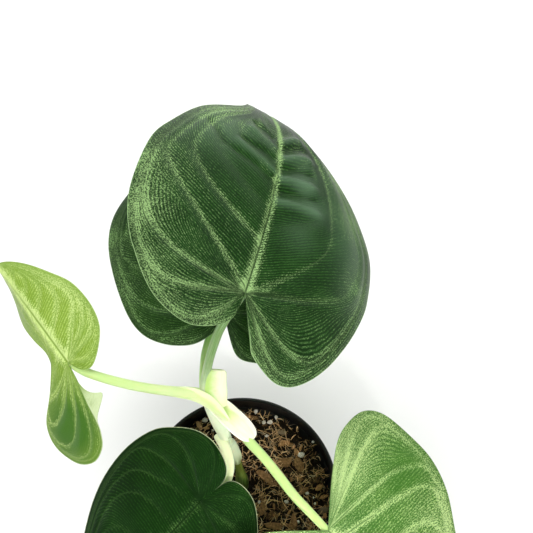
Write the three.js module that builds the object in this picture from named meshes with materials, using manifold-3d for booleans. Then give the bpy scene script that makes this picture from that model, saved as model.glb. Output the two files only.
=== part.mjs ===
// Potted ice frost syngonium: a young climbing aroid with five frosted, heart-shaped leaves
// and one new spear leaf, standing in a plain black nursery pot of bark and coir mix.
// Millimetres, +Z up, origin at the centre of the pot's underside.
import * as THREE from 'three';
import { mergeVertices } from 'three/addons/utils/BufferGeometryUtils.js';
import Module from 'manifold-3d';

const wasm = await Module();
wasm.setup();

// Clear space between pieces that touch on the real plant
const GAP = 0.3;

// Pot: a four inch round nursery pot
const POT_HEIGHT = 89;
const POT_RIM_RADIUS = 51;
const POT_BASE_RADIUS = 36.5;
const POT_WALL = 1.2;
const POT_FLOOR = 1.8;
const POT_SEGMENTS = 64;
const RIM_BAND_HEIGHT = 13;
const RIM_BAND_STEP = 1.4;
const RIM_LIP = 1.9;
const DRAIN_HOLES = 4;
const DRAIN_HOLE_RADIUS = 4.5;
const DRAIN_HOLE_CIRCLE = 24;

// Potting mix
const SOIL_LEVEL = 78;
const SOIL_RINGS = 6;
const SOIL_SEGMENTS = 36;
const SOIL_ROLL = 1.1;
const CHIP_COUNT = 34;
const CHIP_LENGTH = [5, 12];
const CHIP_WIDTH = [2.5, 5.5];
const CHIP_THICKNESS = [1.6, 2.6];

// Leaf blades
const BLADE_THICKNESS = 0.8;
const MIDRIB_DEPTH = 0.9;
const RAYS = 24;
const RAY_STOPS = [0, 0.035, 0.15, 0.33, 0.53, 0.72, 0.87, 1];
const SPINE_SHARE = 0.45;

// Each leaf: at is the point where the blade sits on its stalk, heading its compass direction
// (0 along +X, 90 along +Y), pitch the rise of the midrib there, roll how far the right half
// hangs, sickle how far the tip is swept to the right in percent of the length, with the power
// of the sweep, droop how far the midrib has turned down by the tip, lobeDroop the same for the
// two lobes behind the stalk. fold raises each half from the midrib and curl bends it down again
// by its edge. left and right are the edges of the two halves, from the tip to the sinus, as
// distances out from the midrib and along it, and flick draws a point of one edge out into a
// small curled tip. stalk runs from the stem to the blade: x, y, z and the half width and half
// depth there.
const LEAVES = {
  leaf_front: {
    at: [4, 58, 210],
    heading: 73.5, pitch: 6, roll: 19.5, length: 122, lobe: 38, width: 124,
    sickle: [-24, 3.3], droop: 76, droopPower: 2.9, lobeDroop: [40, 10],
    fold: [5.5, 6], tipFold: [-8, 1], curl: [11, 40], lobeCurl: [10, 0], tipCurl: [24, 24],
    ripple: 0.9, waves: 3.5,
    left: [
      [0, 122], [10, 113], [19, 98], [40.5, 86.5], [54.5, 69], [61.5, 53], [62.5, 26.5],
      [55.5, 6], [44.5, -7], [32.5, -15], [17.5, -19], [3, -13.5], [0, 0],
    ],
    right: [
      [0, 122], [12, 116], [25, 101], [39, 84.5], [52, 63.5], [65, 47], [67, 26.5],
      [62.5, 11.5], [49.5, -16.5], [37, -31], [25, -34], [11.5, -26], [8, -18.5], [0, 0],
    ],
    colour: 0x3f6f40,
    stalk: [
      [-7.6, 20.5, 117, 3.0, 3.0], [-10.6, 25.2, 127, 3.8, 3.8], [-13.2, 30.2, 137, 4.2, 4.0],
      [-15.6, 33.8, 146, 3.4, 3.2], [-16.2, 37, 153, 2.4, 2.4], [-15, 40.5, 161, 2.2, 2.2],
      [-13.2, 43.4, 170, 2.1, 2.1], [-11, 46.1, 179, 2.1, 2.1], [-8.2, 49.3, 188, 2.1, 2.1],
      [-3.4, 53.2, 198, 2, 2],
    ],
  },
  leaf_back: {
    at: [-7, 69, 165],
    heading: 95, pitch: 4, roll: -3, length: 122, lobe: 30, width: 124, sickle: [0, 2],
    droop: 60, droopPower: 2.4, lobeDroop: [18, 18],
    fold: [6, 6], tipFold: [0, 0], curl: [33, 35], lobeCurl: [0, 0], tipCurl: [0, 0],
    ripple: 0.8, waves: 4,
    left: [
      [0, 122], [14, 115], [30, 103], [45, 88], [56, 70], [60, 50], [58, 30], [51, 9],
      [42, -6], [31, -13], [18, -15], [9, -12], [2, -6], [0, 0],
    ],
    right: [
      [0, 122], [14, 115], [30, 103], [45, 86], [56, 68], [59, 48], [55, 26], [46, 2],
      [34, -16], [21, -26], [11, -26], [4, -22], [1, -11], [0, 0],
    ],
    colour: 0x35602f,
    stalk: [
      [-16.5, 34, 140, 2.6, 2.2], [-17.6, 39.4, 147, 2.1, 1.9], [-17.6, 45.2, 151, 1.8, 1.7],
      [-16.8, 52, 154.5, 1.7, 1.7], [-14.5, 59.5, 157.5, 1.7, 1.7], [-11, 65, 160.5, 1.7, 1.7],
    ],
  },
  leaf_young: {
    at: [-79, 40, 172],
    heading: 128, pitch: -4, roll: -6, length: 80, lobe: 42, width: 60, sickle: [0, 2],
    droop: 28, droopPower: 2, lobeDroop: [12, 12],
    fold: [-25, 8], tipFold: [-55, 0], curl: [12, 25], lobeCurl: [10, 0], tipCurl: [0, 0],
    ripple: 0.7, waves: 3, flick: { side: -1, share: 0.82, spread: 0.045, reach: [4, 7, 4] },
    left: [
      [0, 80], [7, 71], [12, 57], [12, 40], [9, 24], [7, 12], [11, 1], [20, -5],
      [30, -13], [34, -25], [30, -38], [21, -44], [12, -42], [7, -36], [5, -30],
      [4, -23], [2, -13], [0.8, -6], [0, 0],
    ],
    right: [
      [0, 80], [6, 73], [13, 61], [19, 47], [24, 34], [25, 19], [22, 6], [15, -4],
      [8, -9], [3, -7], [0, 0],
    ],
    colour: 0x9cc356,
    stalk: [
      [-14.5, 33, 142, 4.6, 2.6], [-23, 33, 148.5, 3.6, 2.5], [-31, 32.5, 153, 2.7, 2.4],
      [-42, 32.3, 158, 2.4, 2.3], [-52, 32.8, 162.5, 2.3, 2.3], [-64, 34.7, 167, 2.2, 2.2],
      [-72, 37, 169.3, 2.1, 2.1],
    ],
  },
  leaf_dark: {
    at: [-19, -14, 125],
    heading: 225, pitch: -15, roll: 0, length: 94, lobe: 26, width: 100, sickle: [0, 2],
    droop: 35, droopPower: 2, lobeDroop: [34, -8],
    fold: [6, 6], tipFold: [0, 0], curl: [25, 25], lobeCurl: [0, 0], tipCurl: [0, 0],
    ripple: 0.4, waves: 3,
    left: [
      [0, 94], [10, 85], [22, 71], [34, 53], [41, 37], [44, 20], [40, 4], [31, -9],
      [20, -18], [10, -20], [3, -17], [1, -8], [0, 0],
    ],
    right: [
      [0, 94], [10, 85], [21, 71], [32, 55], [42, 38], [47, 23], [48, 7], [44, -7],
      [36, -16], [26, -23], [16, -25.5], [7, -24], [0.5, -20], [-2, -14], [-0.7, -5], [0, 0],
    ],
    colour: 0x1c4418,
    stalk: [
      [-10.5, 22, 114, 3.4, 2.4], [-8, 15.5, 117.5, 2.8, 2.2], [-6, 9.4, 119, 2.6, 2.1],
      [-5.2, 3.5, 119.5, 2.5, 2.1], [-7, -3, 119, 2.3, 2], [-12.5, -8.8, 119.5, 2, 1.9],
    ],
  },
  leaf_pale: {
    at: [42, -29, 135],
    heading: -45, pitch: -15, roll: 0, length: 104, lobe: 30, width: 128, sickle: [0, 2],
    droop: 35, droopPower: 2, lobeDroop: [10, 14],
    fold: [6, 6], tipFold: [0, 0], curl: [20, 20], lobeCurl: [0, 0], tipCurl: [0, 0],
    ripple: 0.8, waves: 4,
    left: [
      [0, 104], [12, 92], [25, 76], [37, 58], [47, 43], [57, 28], [63, 12], [63, -4],
      [60, -19], [53, -27], [42, -28], [32, -25], [20, -17], [9, -8], [0, 0],
    ],
    right: [
      [0, 104], [12, 92], [25, 76], [38, 59], [49, 43], [58, 28], [61, 12], [59, -4],
      [54, -18], [45, -26], [34, -27], [24, -21], [14, -13], [6, -5], [0, 0],
    ],
    colour: 0x7aa860,
    stalk: [
      [-12.5, 29.5, 137, 4.4, 2.6], [-5, 23.5, 142, 5.2, 2.6], [1.5, 17, 143.5, 4.2, 2.6],
      [6.4, 9.6, 143, 2.6, 2.4], [12.1, 3.4, 142, 2.3, 2.3], [19.2, -5.2, 141, 2.3, 2.3],
      [26.1, -13.7, 139, 2.2, 2.2], [33.2, -20.6, 136.3, 2.1, 2.1],
    ],
  },
};

// Stem: straight down into the mix, a swollen joint at the surface, a thin bare length, then
// the short joints that carry the leaves. x, y, z and radius.
const STEM = [
  [0.6, 4.5, 58, 3], [0.6, 4.5, 70, 3], [0.6, 4.6, 80, 3], [0.1, 6.5, 85.5, 3.5],
  [-1.1, 10.5, 91, 2.2], [-3, 15, 101, 2.1], [-4.8, 17.6, 108, 2.6], [-7.4, 20.5, 116, 2.2],
  [-10.6, 25.2, 127, 2.4], [-13.2, 30.2, 137, 2.2], [-14.6, 32.2, 142, 1.4],
];

// New spear: the youngest leaf, still rolled and wrapped in its pale sheath
const SPEAR = [
  [-13, 30.8, 140, 3.4, 2.6], [-11.4, 33.6, 148, 4.5, 2.9], [-10.2, 36.6, 155.5, 4.2, 2.3],
  [-9.6, 38.6, 160.5, 2.2, 1.2],
];

// Pale scrap of an old leaf sheath, wrapped round the thin length of the stem
const OLD_SHEATH = [
  [-2, 12.4, 97.5, 1.8, 1.6], [-3.2, 14.4, 102.5, 3.3, 3.1], [-4.7, 16.6, 108.5, 3.8, 3.5],
  [-6, 18.8, 113, 3.2, 3],
];

const radians = THREE.MathUtils.degToRad;

function smooth(value) {
  return THREE.MathUtils.smoothstep(value, 0, 1);
}

// Seeded random numbers, so that every run places the chips alike
function randomNumbers(seed) {
  let state = seed;
  return (low, high) => {
    state = (state * 1664525 + 1013904223) % 4294967296;
    return low + ((high - low) * state) / 4294967296;
  };
}

// Closed triangle mesh to solid, with shared corners merged and slivers dropped
function toSolid(geometry) {
  const bare = geometry.clone();
  for (const name of Object.keys(bare.attributes)) {
    if (name !== 'position') {
      bare.deleteAttribute(name);
    }
  }
  const merged = mergeVertices(bare, 1e-4);
  const corners = merged.index.array;
  const kept = [];
  for (let i = 0; i < corners.length; i += 3) {
    const [a, b, c] = [corners[i], corners[i + 1], corners[i + 2]];
    if (a !== b && b !== c && c !== a) {
      kept.push(a, b, c);
    }
  }
  return new wasm.Manifold(new wasm.Mesh({
    numProp: 3,
    vertProperties: new Float32Array(merged.attributes.position.array),
    triVerts: new Uint32Array(kept),
  }));
}

function toGeometry(solid) {
  const { vertProperties, triVerts } = solid.getMesh();
  const geometry = new THREE.BufferGeometry();
  geometry.setAttribute('position', new THREE.BufferAttribute(new Float32Array(vertProperties), 3));
  geometry.setIndex(new THREE.BufferAttribute(new Uint32Array(triVerts), 1));
  geometry.computeVertexNormals();
  return geometry;
}

// The largest of the bodies that a cut leaves
function largestBody(solid) {
  return solid.decompose().reduce((best, body) => (body.volume() > best.volume() ? body : best));
}

function polygonSolid(points, triangles) {
  const geometry = new THREE.BufferGeometry();
  geometry.setAttribute('position', new THREE.Float32BufferAttribute(points.flat(), 3));
  geometry.setIndex(triangles.flat());
  return toSolid(geometry);
}

// Round or oval bar along a smooth line through stations of x, y, z, half width, half depth.
// across is the direction that the half width is measured in.
function bar(stations, { sides = 8, perSpan = 2, grow = 0, across = [1, 0, 0] } = {}) {
  const line = new THREE.CatmullRomCurve3(
    stations.map(([x, y, z]) => new THREE.Vector3(x, y, z)),
  );
  const steps = (stations.length - 1) * perSpan;
  const points = [];
  const triangles = [];
  for (let step = 0; step <= steps; step += 1) {
    const centre = line.getPoint(step / steps);
    const along = line.getTangent(step / steps);
    const wide = new THREE.Vector3(...across).projectOnPlane(along).normalize();
    const deep = new THREE.Vector3().crossVectors(along, wide);
    const span = Math.min(Math.floor(step / perSpan), stations.length - 2);
    const part = step / perSpan - span;
    const [near, far] = [stations[span], stations[span + 1]];
    const halfWidth = THREE.MathUtils.lerp(near[3], far[3], part) + grow;
    const halfDepth = THREE.MathUtils.lerp(near[4] ?? near[3], far[4] ?? far[3], part) + grow;
    for (let side = 0; side < sides; side += 1) {
      const turn = (2 * Math.PI * side) / sides;
      const point = centre.clone()
        .addScaledVector(wide, halfWidth * Math.cos(turn))
        .addScaledVector(deep, halfDepth * Math.sin(turn));
      points.push(point.toArray());
    }
  }
  for (let step = 0; step < steps; step += 1) {
    for (let side = 0; side < sides; side += 1) {
      const a = step * sides + side;
      const b = step * sides + ((side + 1) % sides);
      triangles.push([a, b, b + sides], [a, b + sides, a + sides]);
    }
  }
  for (let side = 1; side < sides - 1; side += 1) {
    const last = steps * sides;
    triangles.push([0, side + 1, side], [last, last + side, last + side + 1]);
  }
  return polygonSolid(points, triangles);
}

// Height, run and slope of a leaf's midrib at a distance along it, on one side of the blade
function midrib(leaf, side, along) {
  const lobeDroop = leaf.lobeDroop[side < 0 ? 0 : 1];
  const slopeAt = (y) => {
    const ahead = THREE.MathUtils.clamp(y / leaf.length, 0, 1.2);
    const behind = THREE.MathUtils.clamp(-y / leaf.lobe, 0, 1.3);
    return radians(leaf.pitch - leaf.droop * ahead ** leaf.droopPower + lobeDroop * behind);
  };
  const steps = 32;
  let run = 0;
  let rise = 0;
  for (let i = 0; i < steps; i += 1) {
    const middle = slopeAt((along * (i + 0.5)) / steps);
    run += (Math.cos(middle) * along) / steps;
    rise += (Math.sin(middle) * along) / steps;
  }
  return { run, rise, slope: slopeAt(along) };
}

// Where a point of the flat leaf lies in the pot's frame. side is -1 on the left half and 1 on
// the right, out is the distance from the midrib, along the distance from the stalk to the tip.
function bladePoint(leaf, side, out, along) {
  const half = side < 0 ? 0 : 1;
  const behind = smooth(-along / leaf.lobe);
  const ahead = smooth(along / leaf.length);
  const fold = radians(leaf.fold[half] + leaf.tipFold[half] * ahead);
  const curl = leaf.curl[half] + leaf.lobeCurl[half] * behind + leaf.tipCurl[half] * ahead;
  const bend = radians(curl) / (leaf.width / 2);
  const arcOut = (side * (Math.sin(fold) - Math.sin(fold - bend * out))) / bend;
  const arcUp = (Math.cos(fold - bend * out) - Math.cos(fold)) / bend;
  const roll = radians(leaf.roll);
  const sideways = arcOut * Math.cos(roll) + arcUp * Math.sin(roll);
  const upward = arcUp * Math.cos(roll) - arcOut * Math.sin(roll);
  const { run, rise, slope } = midrib(leaf, side, along);
  const [sweep, power] = leaf.sickle;
  const sway = (sweep * leaf.length * (Math.max(along, 0) / leaf.length) ** power) / 100;
  const local = new THREE.Vector3(
    sideways + sway,
    run - upward * Math.sin(slope),
    rise + upward * Math.cos(slope),
  );
  local.applyAxisAngle(new THREE.Vector3(0, 0, 1), radians(leaf.heading - 90));
  return local.add(new THREE.Vector3(...leaf.at));
}

// Upward normal of the blade there, the mean of both halves on the midrib itself
function bladeNormal(leaf, side, out, along) {
  const step = 0.2;
  const total = new THREE.Vector3();
  const halves = out === 0 ? [-1, 1] : [side];
  for (const half of halves) {
    const here = bladePoint(leaf, half, out, along);
    const outward = bladePoint(leaf, half, out + step, along).sub(here);
    const forward = bladePoint(leaf, half, out, along + step).sub(here);
    total.add(outward.cross(forward).normalize().multiplyScalar(half));
  }
  return total.normalize();
}

// Blade in rays from the midrib to the edge, the same triangles on both faces
function bladeSolid(leaf) {
  const points = [];
  const triangles = [];
  const stops = RAY_STOPS.length;
  const half = BLADE_THICKNESS / 2;
  for (const side of [-1, 1]) {
    const edge = new THREE.SplineCurve(
      (side < 0 ? leaf.left : leaf.right).map(([x, y]) => new THREE.Vector2(x, y)),
    );
    const first = points.length;
    const index = (ray, stop, face) => first + (ray * stops + stop) * 2 + face;
    for (let ray = 0; ray <= RAYS; ray += 1) {
      const share = ray / RAYS;
      const spineAlong = leaf.length * Math.max(0, 1 - share / SPINE_SHARE);
      const end = edge.getPoint(share);
      for (const stop of RAY_STOPS) {
        const out = end.x * stop;
        const along = THREE.MathUtils.lerp(spineAlong, end.y, stop);
        const normal = bladeNormal(leaf, side, out, along);
        const middle = bladePoint(leaf, side, out, along);
        const ripple = leaf.ripple * stop ** 3 * Math.sin(Math.PI * share)
          * Math.sin(2 * Math.PI * leaf.waves * share + side);
        if (leaf.flick?.side === side) {
          const { share: centre, spread, reach } = leaf.flick;
          const lift = stop ** 4 * Math.exp(-(((share - centre) / spread) ** 2));
          middle.addScaledVector(new THREE.Vector3(...reach), lift);
        }
        const rib = stop === 0 ? MIDRIB_DEPTH * smooth(spineAlong / leaf.length * 2) : 0;
        points.push(middle.clone().addScaledVector(normal, ripple + half).toArray());
        points.push(middle.clone().addScaledVector(normal, ripple - half - rib).toArray());
      }
    }
    const face = (a, b, c) => triangles.push(side > 0 ? [a, b, c] : [a, c, b]);
    for (let ray = 0; ray < RAYS; ray += 1) {
      for (let stop = 0; stop < stops - 1; stop += 1) {
        face(index(ray, stop, 0), index(ray + 1, stop, 0), index(ray + 1, stop + 1, 0));
        face(index(ray, stop, 0), index(ray + 1, stop + 1, 0), index(ray, stop + 1, 0));
        face(index(ray, stop, 1), index(ray + 1, stop + 1, 1), index(ray + 1, stop, 1));
        face(index(ray, stop, 1), index(ray, stop + 1, 1), index(ray + 1, stop + 1, 1));
      }
      const rim = stops - 1;
      face(index(ray, rim, 0), index(ray + 1, rim, 0), index(ray + 1, rim, 1));
      face(index(ray, rim, 0), index(ray + 1, rim, 1), index(ray, rim, 1));
    }
  }
  return polygonSolid(points, triangles);
}

// The stalk's last stations run on under the midrib, where they thin out into it
function stalkStations(leaf) {
  const tail = [[1.5, 1.5, 0.85], [8, 0.9, 0.6], [18, 0.5, 0.4]];
  const [, , , lastWidth] = leaf.stalk[leaf.stalk.length - 1];
  const under = tail.map(([along, depth, share]) => {
    const normal = bladeNormal(leaf, 1, 0, along);
    const point = bladePoint(leaf, 1, 0, along).addScaledVector(normal, -depth);
    return [...point.toArray(), lastWidth * share, lastWidth * share];
  });
  return [...leaf.stalk, ...under];
}

function potSolid() {
  const bandBottom = POT_HEIGHT - RIM_BAND_HEIGHT;
  const taper = (POT_RIM_RADIUS - RIM_BAND_STEP - POT_BASE_RADIUS) / POT_HEIGHT;
  const wallRadius = (z) => POT_BASE_RADIUS + taper * z;
  const lipRound = 0.5;
  const profile = [
    [0, 0],
    [POT_BASE_RADIUS - 1, 0],
    [POT_BASE_RADIUS, 1],
    [wallRadius(bandBottom), bandBottom],
    [POT_RIM_RADIUS - 0.8, bandBottom + RIM_BAND_STEP],
    [POT_RIM_RADIUS, POT_HEIGHT - lipRound * 2],
    [POT_RIM_RADIUS - lipRound, POT_HEIGHT],
    [POT_RIM_RADIUS - RIM_LIP + lipRound, POT_HEIGHT],
    [POT_RIM_RADIUS - RIM_LIP, POT_HEIGHT - lipRound * 2],
    [POT_RIM_RADIUS - POT_WALL - 0.9, bandBottom + RIM_BAND_STEP],
    [wallRadius(bandBottom - 1) - POT_WALL, bandBottom - 1],
    [wallRadius(POT_FLOOR) - POT_WALL, POT_FLOOR],
    [0, POT_FLOOR],
  ].map(([r, z]) => new THREE.Vector2(r, z));
  const lathe = new THREE.LatheGeometry(profile, POT_SEGMENTS).rotateX(Math.PI / 2);
  let pot = toSolid(lathe);
  for (let i = 0; i < DRAIN_HOLES; i += 1) {
    const turn = (2 * Math.PI * (i + 0.5)) / DRAIN_HOLES;
    const drill = new THREE.CylinderGeometry(DRAIN_HOLE_RADIUS, DRAIN_HOLE_RADIUS, POT_FLOOR * 3, 16)
      .rotateX(Math.PI / 2)
      .translate(DRAIN_HOLE_CIRCLE * Math.cos(turn), DRAIN_HOLE_CIRCLE * Math.sin(turn), 0);
    pot = pot.subtract(toSolid(drill));
  }
  return pot;
}

function soilTop(x, y) {
  return SOIL_LEVEL + SOIL_ROLL * Math.sin(x / 9 + 1) * Math.cos(y / 11) + 0.4 * Math.sin((x + y) / 4);
}

// Uneven disc of mix, its side a little inside the pot wall
function soilBed() {
  const taper = (POT_RIM_RADIUS - RIM_BAND_STEP - POT_BASE_RADIUS) / POT_HEIGHT;
  const inside = POT_BASE_RADIUS - POT_WALL - GAP;
  const bottom = POT_FLOOR + GAP;
  const bandBottom = POT_HEIGHT - RIM_BAND_HEIGHT - 3;
  const points = [[0, 0, soilTop(0, 0)], [0, 0, bottom]];
  const triangles = [];
  const ringRadius = (ring) => ((inside + taper * bandBottom) * ring) / SOIL_RINGS;
  const addRing = (radius, heightAt) => {
    const start = points.length;
    for (let i = 0; i < SOIL_SEGMENTS; i += 1) {
      const turn = (2 * Math.PI * i) / SOIL_SEGMENTS;
      const [x, y] = [radius * Math.cos(turn), radius * Math.sin(turn)];
      points.push([x, y, heightAt(x, y)]);
    }
    return start;
  };
  const rings = [];
  for (let ring = 1; ring <= SOIL_RINGS; ring += 1) {
    rings.push(addRing(ringRadius(ring), soilTop));
  }
  rings.push(addRing(inside + taper * bandBottom, () => bandBottom));
  rings.push(addRing(inside + taper * bottom, () => bottom));
  for (let i = 0; i < SOIL_SEGMENTS; i += 1) {
    const next = (i + 1) % SOIL_SEGMENTS;
    triangles.push([0, rings[0] + i, rings[0] + next]);
    for (let ring = 0; ring < rings.length - 1; ring += 1) {
      const [inner, outer] = [rings[ring], rings[ring + 1]];
      triangles.push([inner + i, outer + i, outer + next], [inner + i, outer + next, inner + next]);
    }
    const last = rings[rings.length - 1];
    triangles.push([1, last + next, last + i]);
  }
  return polygonSolid(points, triangles);
}

// Flat flake of bark with a chamfered outline
function barkChip(length, width, thickness) {
  const outline = new THREE.Shape();
  outline.moveTo(-length / 2, -width / 3);
  outline.lineTo(length / 3, -width / 2);
  outline.lineTo(length / 2, width / 4);
  outline.lineTo(-length / 4, width / 2);
  return new THREE.ExtrudeGeometry(outline, { depth: thickness, bevelEnabled: false });
}

function soilSolid() {
  const random = randomNumbers(7);
  const stemRadius = STEM[0][3];
  let soil = soilBed();
  let placed = 0;
  while (placed < CHIP_COUNT) {
    const radius = 43 * Math.sqrt(random(0, 1));
    const turn = random(0, 2 * Math.PI);
    const [x, y] = [radius * Math.cos(turn), radius * Math.sin(turn)];
    const fromStem = Math.hypot(x - STEM[0][0], y - STEM[0][1]);
    const chip = barkChip(random(...CHIP_LENGTH), random(...CHIP_WIDTH), random(...CHIP_THICKNESS))
      .rotateX(random(-0.35, 0.35))
      .rotateY(random(-0.35, 0.35))
      .rotateZ(random(0, 2 * Math.PI))
      .translate(x, y, soilTop(x, y) - 0.9);
    if (fromStem > 13 && radius < 39) {
      soil = soil.add(toSolid(chip));
      placed += 1;
    }
  }
  const holeRadius = stemRadius + 2 * GAP;
  const holeBottom = STEM[0][2] - GAP;
  const hole = new THREE.CylinderGeometry(holeRadius, holeRadius, POT_HEIGHT - holeBottom, 16)
    .rotateX(Math.PI / 2)
    .translate(STEM[0][0], STEM[0][1], (POT_HEIGHT + holeBottom) / 2);
  return largestBody(soil.subtract(toSolid(hole)));
}

// A leaf is cut back by a small gap from the stem and from the stalks already in place
function leafSolid(name, inPlace) {
  const leaf = LEAVES[name];
  const across = { leaf_young: [0, 1, -0.4], leaf_pale: [0.6, 0.6, 0.5] }[name];
  const stations = stalkStations(leaf);
  let solid = bladeSolid(leaf).add(bar(stations, { across }));
  for (const other of inPlace) {
    solid = solid.subtract(other);
  }
  inPlace.push(bar(stations, { across, grow: GAP }));
  return largestBody(solid);
}

function addPiece(plant, name, solid, colour, roughness) {
  const material = new THREE.MeshStandardMaterial({ color: colour, roughness, metalness: 0 });
  const mesh = new THREE.Mesh(toGeometry(solid), material);
  mesh.name = name;
  plant.add(mesh);
}

const plant = new THREE.Group();
plant.name = 'potted_ice_frost_syngonium';
addPiece(plant, 'pot', potSolid(), 0x141416, 0.45);
addPiece(plant, 'soil', soilSolid(), 0x4a3222, 0.95);

const stemOptions = { sides: 10 };
addPiece(plant, 'stem', bar(STEM, stemOptions), 0x8a9a3a, 0.5);
const inPlace = [bar(STEM, { ...stemOptions, grow: GAP })];

for (const name of ['leaf_front', 'leaf_young', 'leaf_pale', 'leaf_back', 'leaf_dark']) {
  addPiece(plant, name, leafSolid(name, inPlace), LEAVES[name].colour, 0.5);
}

function clearOfOthers(stations) {
  const solid = inPlace.reduce((rest, other) => rest.subtract(other), bar(stations));
  inPlace.push(bar(stations, { grow: GAP }));
  return largestBody(solid);
}

addPiece(plant, 'new_spear', clearOfOthers(SPEAR), 0xf0f6d0, 0.5);
addPiece(plant, 'old_sheath', clearOfOthers(OLD_SHEATH), 0xdcd8b0, 0.7);

export default plant;
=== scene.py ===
# Potted ice frost syngonium: the finished look of the plant, its pot and its potting mix.
# Sizes are millimetres in the pot's own frame, as in the solids, and MM takes them to metres.
import math

import bmesh
import bpy
import numpy as np
from mathutils import Matrix, Vector, noise


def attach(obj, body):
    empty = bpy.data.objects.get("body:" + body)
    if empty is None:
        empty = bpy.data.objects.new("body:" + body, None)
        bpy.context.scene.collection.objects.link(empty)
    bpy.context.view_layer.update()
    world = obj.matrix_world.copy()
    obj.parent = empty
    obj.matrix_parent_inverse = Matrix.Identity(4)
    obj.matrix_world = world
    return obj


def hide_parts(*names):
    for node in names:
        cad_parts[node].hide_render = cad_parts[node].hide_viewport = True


MM = 0.001
BODY = "root"

# Camera: looks down on the plant steeply from the front
CAMERA_AIM = (13.3, 132.5, 89)
CAMERA_DISTANCE = 521
CAMERA_ELEVATION = 63
CAMERA_VIEW = 34

# Lights: place, what they face, side of the square, power, whether glossy surfaces show them,
# and the angle that they spread over
PLANT_MIDDLE = (0, 40, 120)
LIGHTS = {
    "key": ((-350, 500, 900), PLANT_MIDDLE, 900, 9.5, False, 180),
    "fill": ((300, -700, 800), PLANT_MIDDLE, 900, 10.5, False, 180),
    "sheen": ((615, 720, 700), PLANT_MIDDLE, 600, 1.2, True, 180),
    "low": ((120, -350, 620), (14, 8, 90), 120, 0.026, False, 15),
    "back": ((0, 1000, 330), PLANT_MIDDLE, 900, 3, True, 180),
    "side": ((-900, -100, 330), PLANT_MIDDLE, 700, 1.5, True, 180),
}
WORLD_STRENGTH = 0.18
FLOOR_REACH = 3000

# Pot
POT_HEIGHT = 89
POT_RIM_RADIUS = 51
POT_BASE_RADIUS = 36.5
POT_WALL = 1.2
POT_FLOOR = 1.8
POT_SEGMENTS = 192
RIM_BAND_HEIGHT = 13
RIM_BAND_STEP = 1.4
RIM_LIP = 1.9
DRAIN_HOLES = 4
DRAIN_HOLE_RADIUS = 4.5
DRAIN_HOLE_CIRCLE = 24

# Potting mix
SOIL_LEVEL = 78
SOIL_ROLL = 1.1
SOIL_SIDE_TOP = 73
SOIL_GAP = 0.3
SOIL_REACH = 47.4
STEM_CLEARANCE = 7
BED_RINGS = 70
BED_SEGMENTS = 220
CRUMB_HEIGHT = 1.1
CHIP_COUNT = 560
CHIP_CORNERS = 9
SHRED_COUNT = 2600
FIBRE_COUNT = 260
FIBRE_STEPS = 5
GRAIN_COUNT = 24
CHIP_SEED = 11
FIBRE_SEED = 12
GRAIN_SEED = 13
SHRED_SEED = 14
# Rings of a flake from the middle of its top to the middle of its underside: spread and height
CHIP_RINGS = [(0, 0.5), (0.62, 0.46), (0.95, 0.3), (1, -0.1), (0.85, -0.5), (0, -0.5)]
# The large flakes: x, y, length and heading in degrees. The white grains that show: x, y, size.
BIG_CHIPS = [
    (13.6, 8.5, 14, -35), (23, 17, 12, -5), (18, -17, 13, 5), (11, -8, 9, 80), (31, 16, 10, -60),
    (34, 2, 9, 40), (-30, 26, 10, 20), (28, -14, 10, 100),
]
BIG_GRAINS = [
    (7.4, 46, 1.5), (11.9, 39.8, 1.3), (15.3, 39.8, 1.5), (18.6, 42.5, 1.0), (32.3, 21.1, 1.6),
    (39, 28.4, 0.9), (-21.1, 40.9, 1.4), (24, -4, 1.0),
]

# Leaf blades: rays from the midrib to the edge, and stops along each ray, crowded at its ends
RAYS = 150
STOPS = 64
STOP_CROWDING = 0.7
SPINE_SHARE = 0.45
RIM_SAMPLES = 500
BLADE_THICKNESS = 0.8
EDGE_THICKNESS = 0.34
EDGE_TAPER = 3
# Bank and groove of the midrib on top, and its rib below: distance from it, width and height
MIDRIB_PEAKS = [(1.9, 1, 0.3), (0, 0.8, -0.35), (0, 1.2, 0.9)]
# How far from the midrib, the rim and crowded veins the quilting between side veins is whole
QUILT_FADES = (7, 9, 10)
QUILT_FULLNESS = 0.7
STRIA_SPACING = 1.0
LATERAL_SHEAR = 0.07
# Painted grey sheen on the crests of the folds, as a share of their height
PAINTED_CREST_SHEEN = 0.3

# Side veins for each half from tip to sinus: where one leaves the midrib as a share of the way
# round the edge, how far out it settles, how boldly it is frosted, and how fast it turns out
# there where that isn't VEIN_TURN
VEIN_TURN = 0.03
FRONT_VEINS = [
    [
        (0.05, 0.55, 0.2), (0.1, 0.6, 0.3), (0.15, 0.64, 0.3), (0.19, 0.67, 0.35), (0.24, 0.7, 0.35),
        (0.3, 0.73, 0.12), (0.36, 0.78, 0.75, 0.026), (0.445, 0.87, 0.9, 0.02),
        (0.59, 0.93, 0.85, 0.031), (0.71, 0.94, 0.8, 0.025), (0.87, 0.95, 0.5, 0.02),
    ],
    [
        (0.05, 0.4, 0.15), (0.1, 0.45, 0.2), (0.14, 0.48, 0.2), (0.18, 0.5, 0.25), (0.22, 0.52, 0.25),
        (0.27, 0.54, 0.2), (0.33, 0.56, 0.1), (0.455, 0.61, 0.65, 0.065), (0.545, 0.82, 0.45, 0.037),
        (0.7, 0.89, 0.8, 0.018), (0.8, 0.9, 0.7, 0.02),
    ],
]
EVEN_VEINS = [
    (0.06, 0.6, 0.3), (0.11, 0.66, 0.4), (0.17, 0.71, 0.4), (0.24, 0.76, 0.45), (0.32, 0.81, 0.5),
    (0.4, 0.85, 0.7), (0.455, 0.88, 0.9, 0.02), (0.58, 0.92, 0.9), (0.7, 0.94, 0.8, 0.025),
    (0.84, 0.95, 0.6, 0.02),
]
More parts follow.
